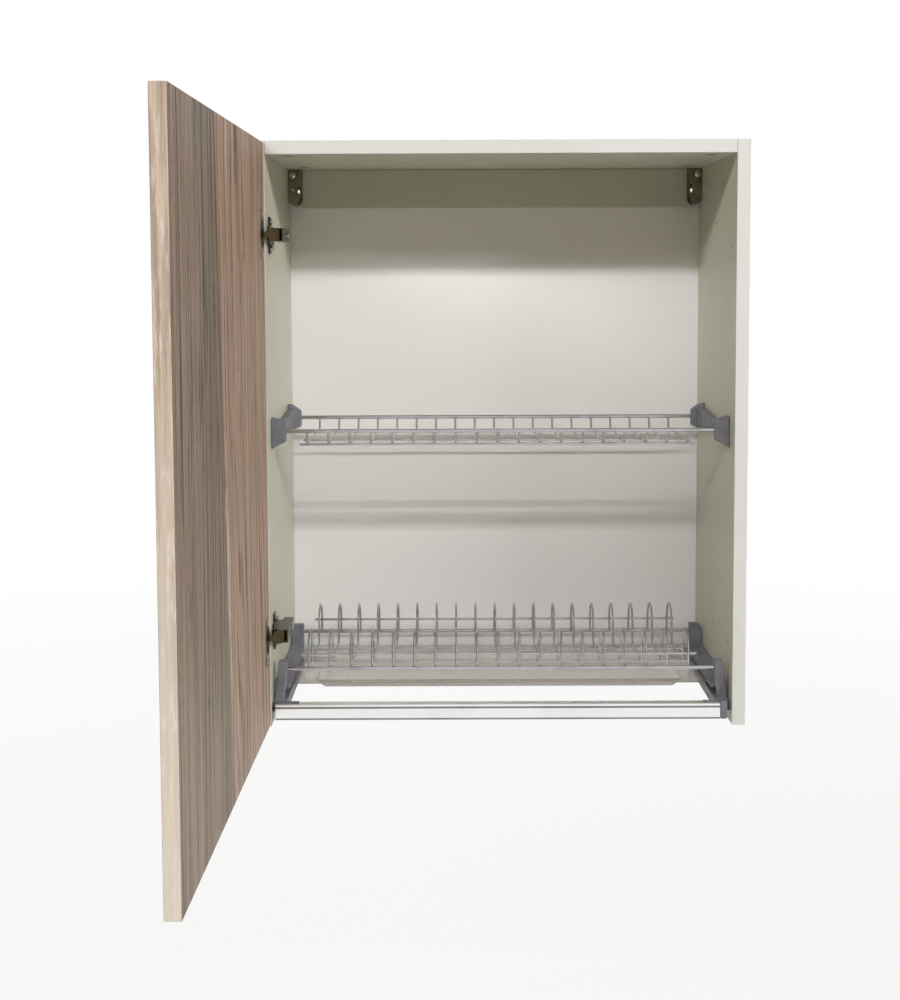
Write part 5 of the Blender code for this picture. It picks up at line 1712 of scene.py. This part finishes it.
@dataclass
class Fittings:
    """Hinges, hangers, cams, brackets, corner connectors, rear profile and tray, with soft edges."""

    ease: float = 0.00035
    hanger_ease: float = 0.0006
    grain: float = 0.0009
    rounds: int = 7
    tongue: float = 0.2995
    tray_sheet: float = 0.0015
    tray_travel: float = 0.07
    tray_slip: float = 0.0004

    def build(self) -> None:
        """Dresses each small CAD node."""
        bodies = frame["record"]["behaviour"]["bodies"]
        body_of = {node: Body(body) for body, nodes in bodies.items() for node in nodes}
        for node in frame["nodes"]:
            finish, ease = self.finish_of(node)
            if finish is None:
                continue
            name = node + "_piece"
            if finish is PLASTIC:
                mesh = moulded(solid_copy(node), name, self.grain, self.rounds)
            else:
                mesh = eased(solid_copy(node), name, ease)
            if node.startswith("lower_bracket"):
                mesh = self._cleared(mesh)
            choose = self._dark_tongue if node.startswith("hanger_body") else None
            finishes = (finish, NICKEL) if choose else (finish,)
            dress(mesh, name, body_of[node], finishes, (node,), choose)

    def _cleared(self, mesh: bpy.types.Mesh) -> bpy.types.Mesh:
        """Frees the way of the tray's rim, which a bracket's soft inner corners reach into.

        Args:
            mesh: the rounded bracket.

        Returns:
            The bracket without what lay in the rim's way.
        """
        (left, front, _), (right, rear, top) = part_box("drip_tray")
        slip = self.tray_slip
        left, right, front, rear = left - slip, right + slip, front - self.tray_travel - slip, rear + slip
        corners = ((left, front), (right, front), (right, rear), (left, rear))
        levels = (top - self.tray_sheet - slip, top + slip)
        return carved(mesh, mesh.name, prism(*([(x, y, z) for x, y in corners] for z in levels)))

    def _dark_tongue(self, centre: Vector, normal: Vector) -> int:
        """A darker nickel finish on a hanger's tongue, below its box."""
        return int(centre.z < self.tongue)

    def finish_of(self, node: str) -> tuple[Finish | None, float]:
        """A small node's finish and the width of its eased edges, or None for what others dress."""
        if "screw" in node or node.startswith("hanger_adjuster"):
            return None, 0.0
        kinds = (
            ("hinge_cup", SCREW_NICKEL, self.ease),
            ("hinge_", NICKEL, self.ease),
            ("hanger_", ZINC, self.hanger_ease),
            ("cam", ZINC, self.ease),
            ("upper_bracket", PLASTIC, 0.0),
            ("lower_bracket", PLASTIC, 0.0),
            ("corner_", PLASTIC, 0.0),
            ("rear_profile", ALUMINIUM, self.ease),
            ("drip_tray", CLEAR, self.ease),
        )
        found = (kind[1:] for kind in kinds if node.startswith(kind[0]))
        return next(found, (None, 0.0))


@dataclass
class Studio:
    """The camera, the lamps, the white surroundings and the floor."""

    place: Point = (-0.0576, -2.2217, 0.1943)
    pitch: float = -0.08075
    roll: float = -0.00402
    yaw: float = 0.0024
    focal: float = 1584.75
    picture_width: int = 900
    middle_drop: float = -94.8
    sensor: float = 36.0
    floor_level: float = -1.4
    floor_radius: float = 12.0
    floor_sides: int = 96
    floor_tone: Colour = (0.68, 0.66, 0.58)
    floor_glow: float = 0.88
    floor_fade: Pair = (1.5, 7.0)
    key_power: float = 168.0
    key_width: float = 9.0
    key_depth: float = 0.16
    key_height: float = 24.5
    key_side: float = 1.2
    key_distance: float = 3.5
    key_level: float = 0.25
    wing_width: float = 2.4
    wing_powers: Pair = (42.0, 126.0)
    wing_turns: Pair = (-31.0, 51.0)
    rear_place: Point = (-1.9, 3.6, 1.9)
    rear_size: Pair = (2.6, 1.8)
    rear_power: float = 80.0
    sky: float = 0.022
    sky_tone: Colour = (1.0, 0.84, 0.2)
    lamp_tone: Colour = (0.985, 0.99, 1.0)

    def build(self) -> None:
        """Sets everything up."""
        self.camera()
        self.lamps()
        self.surroundings()
        self.floor()
        bpy.context.scene.view_settings.view_transform = "Standard"

    def camera(self) -> None:
        """Stands the camera where the photograph was taken."""
        data = bpy.data.cameras.new("camera")
        data.sensor_fit = "HORIZONTAL"
        data.sensor_width = self.sensor
        data.lens = self.focal * self.sensor / self.picture_width
        data.shift_y = self.middle_drop / self.picture_width
        made = bpy.data.objects.new("camera", data)
        turn = Matrix.Rotation(self.yaw, 4, "Z") @ Matrix.Rotation(math.pi / 2 + self.pitch, 4, "X")
        made.matrix_world = Matrix.Translation(self.place) @ turn @ Matrix.Rotation(self.roll, 4, "Z")
        bpy.context.scene.collection.objects.link(made)
        bpy.context.scene.camera = made

    def lamps(self) -> None:
        """One long soft strip above the camera, a short one on each side and a broad lamp behind."""
        self._strip("key", self.key_side, self.key_width, self.key_power, 0.0)
        for name, power, turn in zip(("wing_left", "wing_right"), self.wing_powers, self.wing_turns):
            side = self.key_distance * math.tan(math.radians(turn))
            self._strip(name, side, self.wing_width, power, math.radians(turn))
        facing = Vector(self.rear_place).to_track_quat("Z", "Y").to_matrix().to_4x4()
        stand = Matrix.Translation(self.rear_place) @ facing
        self._hang("rear", self.rear_size, self.rear_power, stand)

    def _strip(self, name: str, side: float, width: float, power: float, turn: float) -> None:
        """Hangs a strip lamp level with the floor, on a line along the cabinet's front.

        Args:
            name: the lamp's name.
            side: how far it hangs to the right.
            width: its length.
            power: its power, in watts.
            turn: how far it's turned to face the cabinet.
        """
        rise = math.radians(self.key_height)
        place = Vector((side, -self.key_distance, self.key_level + self.key_distance * math.tan(rise)))
        lean = Matrix.Rotation(math.pi / 2 - rise, 4, "X")
        stand = Matrix.Translation(place) @ Matrix.Rotation(turn, 4, "Z") @ lean
        self._hang(name, (width, self.key_depth), power, stand)

    def _hang(self, name: str, size: Pair, power: float, stand: Matrix) -> None:
        """Hangs a soft lamp, which metal doesn't mirror as a hard line.

        Args:
            name: the lamp's name.
            size: its width and height.
            power: its power, in watts.
            stand: where it hangs and how it's turned.
        """
        data = bpy.data.lights.new(name, "AREA")
        data.shape = "RECTANGLE"
        data.size, data.size_y = size
        data.energy = power
        data.color = self.lamp_tone
        made = bpy.data.objects.new(name, data)
        made.matrix_world = stand
        made.visible_glossy = False
        bpy.context.scene.collection.objects.link(made)

    def surroundings(self) -> None:
        """White to the eye and in reflections, and an even grey for the light it gives."""
        world = bpy.data.worlds.new("studio")
        bpy.context.scene.world = world
        world.use_nodes = True
        tree = Shading(world.node_tree)
        given = {"Color": (*self.sky_tone, 1.0), "Strength": self.sky}
        light = tree.add("ShaderNodeBackground", None, given)
        white = tree.add("ShaderNodeBackground", None, {"Color": (1, 1, 1, 1), "Strength": 1.0})
        tree.node("ShaderNodeOutputWorld", None, {"Surface": tree.blend(tree.seen(), light, white)})

    def floor(self) -> None:
        """A pale floor far below the hung cabinet, which takes its shadow."""
        bm = bmesh.new()
        sides, radius = self.floor_sides, self.floor_radius
        bmesh.ops.create_circle(bm, cap_ends=True, segments=sides, radius=radius)
        bmesh.ops.translate(bm, verts=bm.verts, vec=(0, 0, self.floor_level))
        mesh = mesh_of(bm, "floor")
        floor = add_object(mesh, "floor")
        tree = Paint("pale floor")
        pale = tree.add("ShaderNodeBsdfDiffuse", None, {"Color": (*self.floor_tone, 1.0)})
        white = tree.add("ShaderNodeEmission", None, {"Color": (1, 1, 1, 1), "Strength": 1.0})
        distance = (tree.axis("X") ** 2 + tree.axis("Y") ** 2) ** 0.5
        bright = self.floor_glow + distance.smooth(*self.floor_fade) * (1 - self.floor_glow)
        shown = tree.blend(tree.seen() * bright, pale, white)
        tree.node("ShaderNodeOutputMaterial", None, {"Surface": shown})
        mesh.materials.append(tree.material)


def main() -> None:
    """Builds the studio and dresses the cabinet, piece by piece."""
    logging.basicConfig(level=logging.INFO, format="%(message)s")
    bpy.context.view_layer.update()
    shop = WireShop()
    boards = (Carcass(), Door())
    metal = (Fittings(), FrontProfile(), Screws(ScrewShop()))
    for maker in (Studio(), *boards, *metal, CupRack(shop), PlateRack(shop)):
        maker.build()


if __name__ == "__main__":
    main()
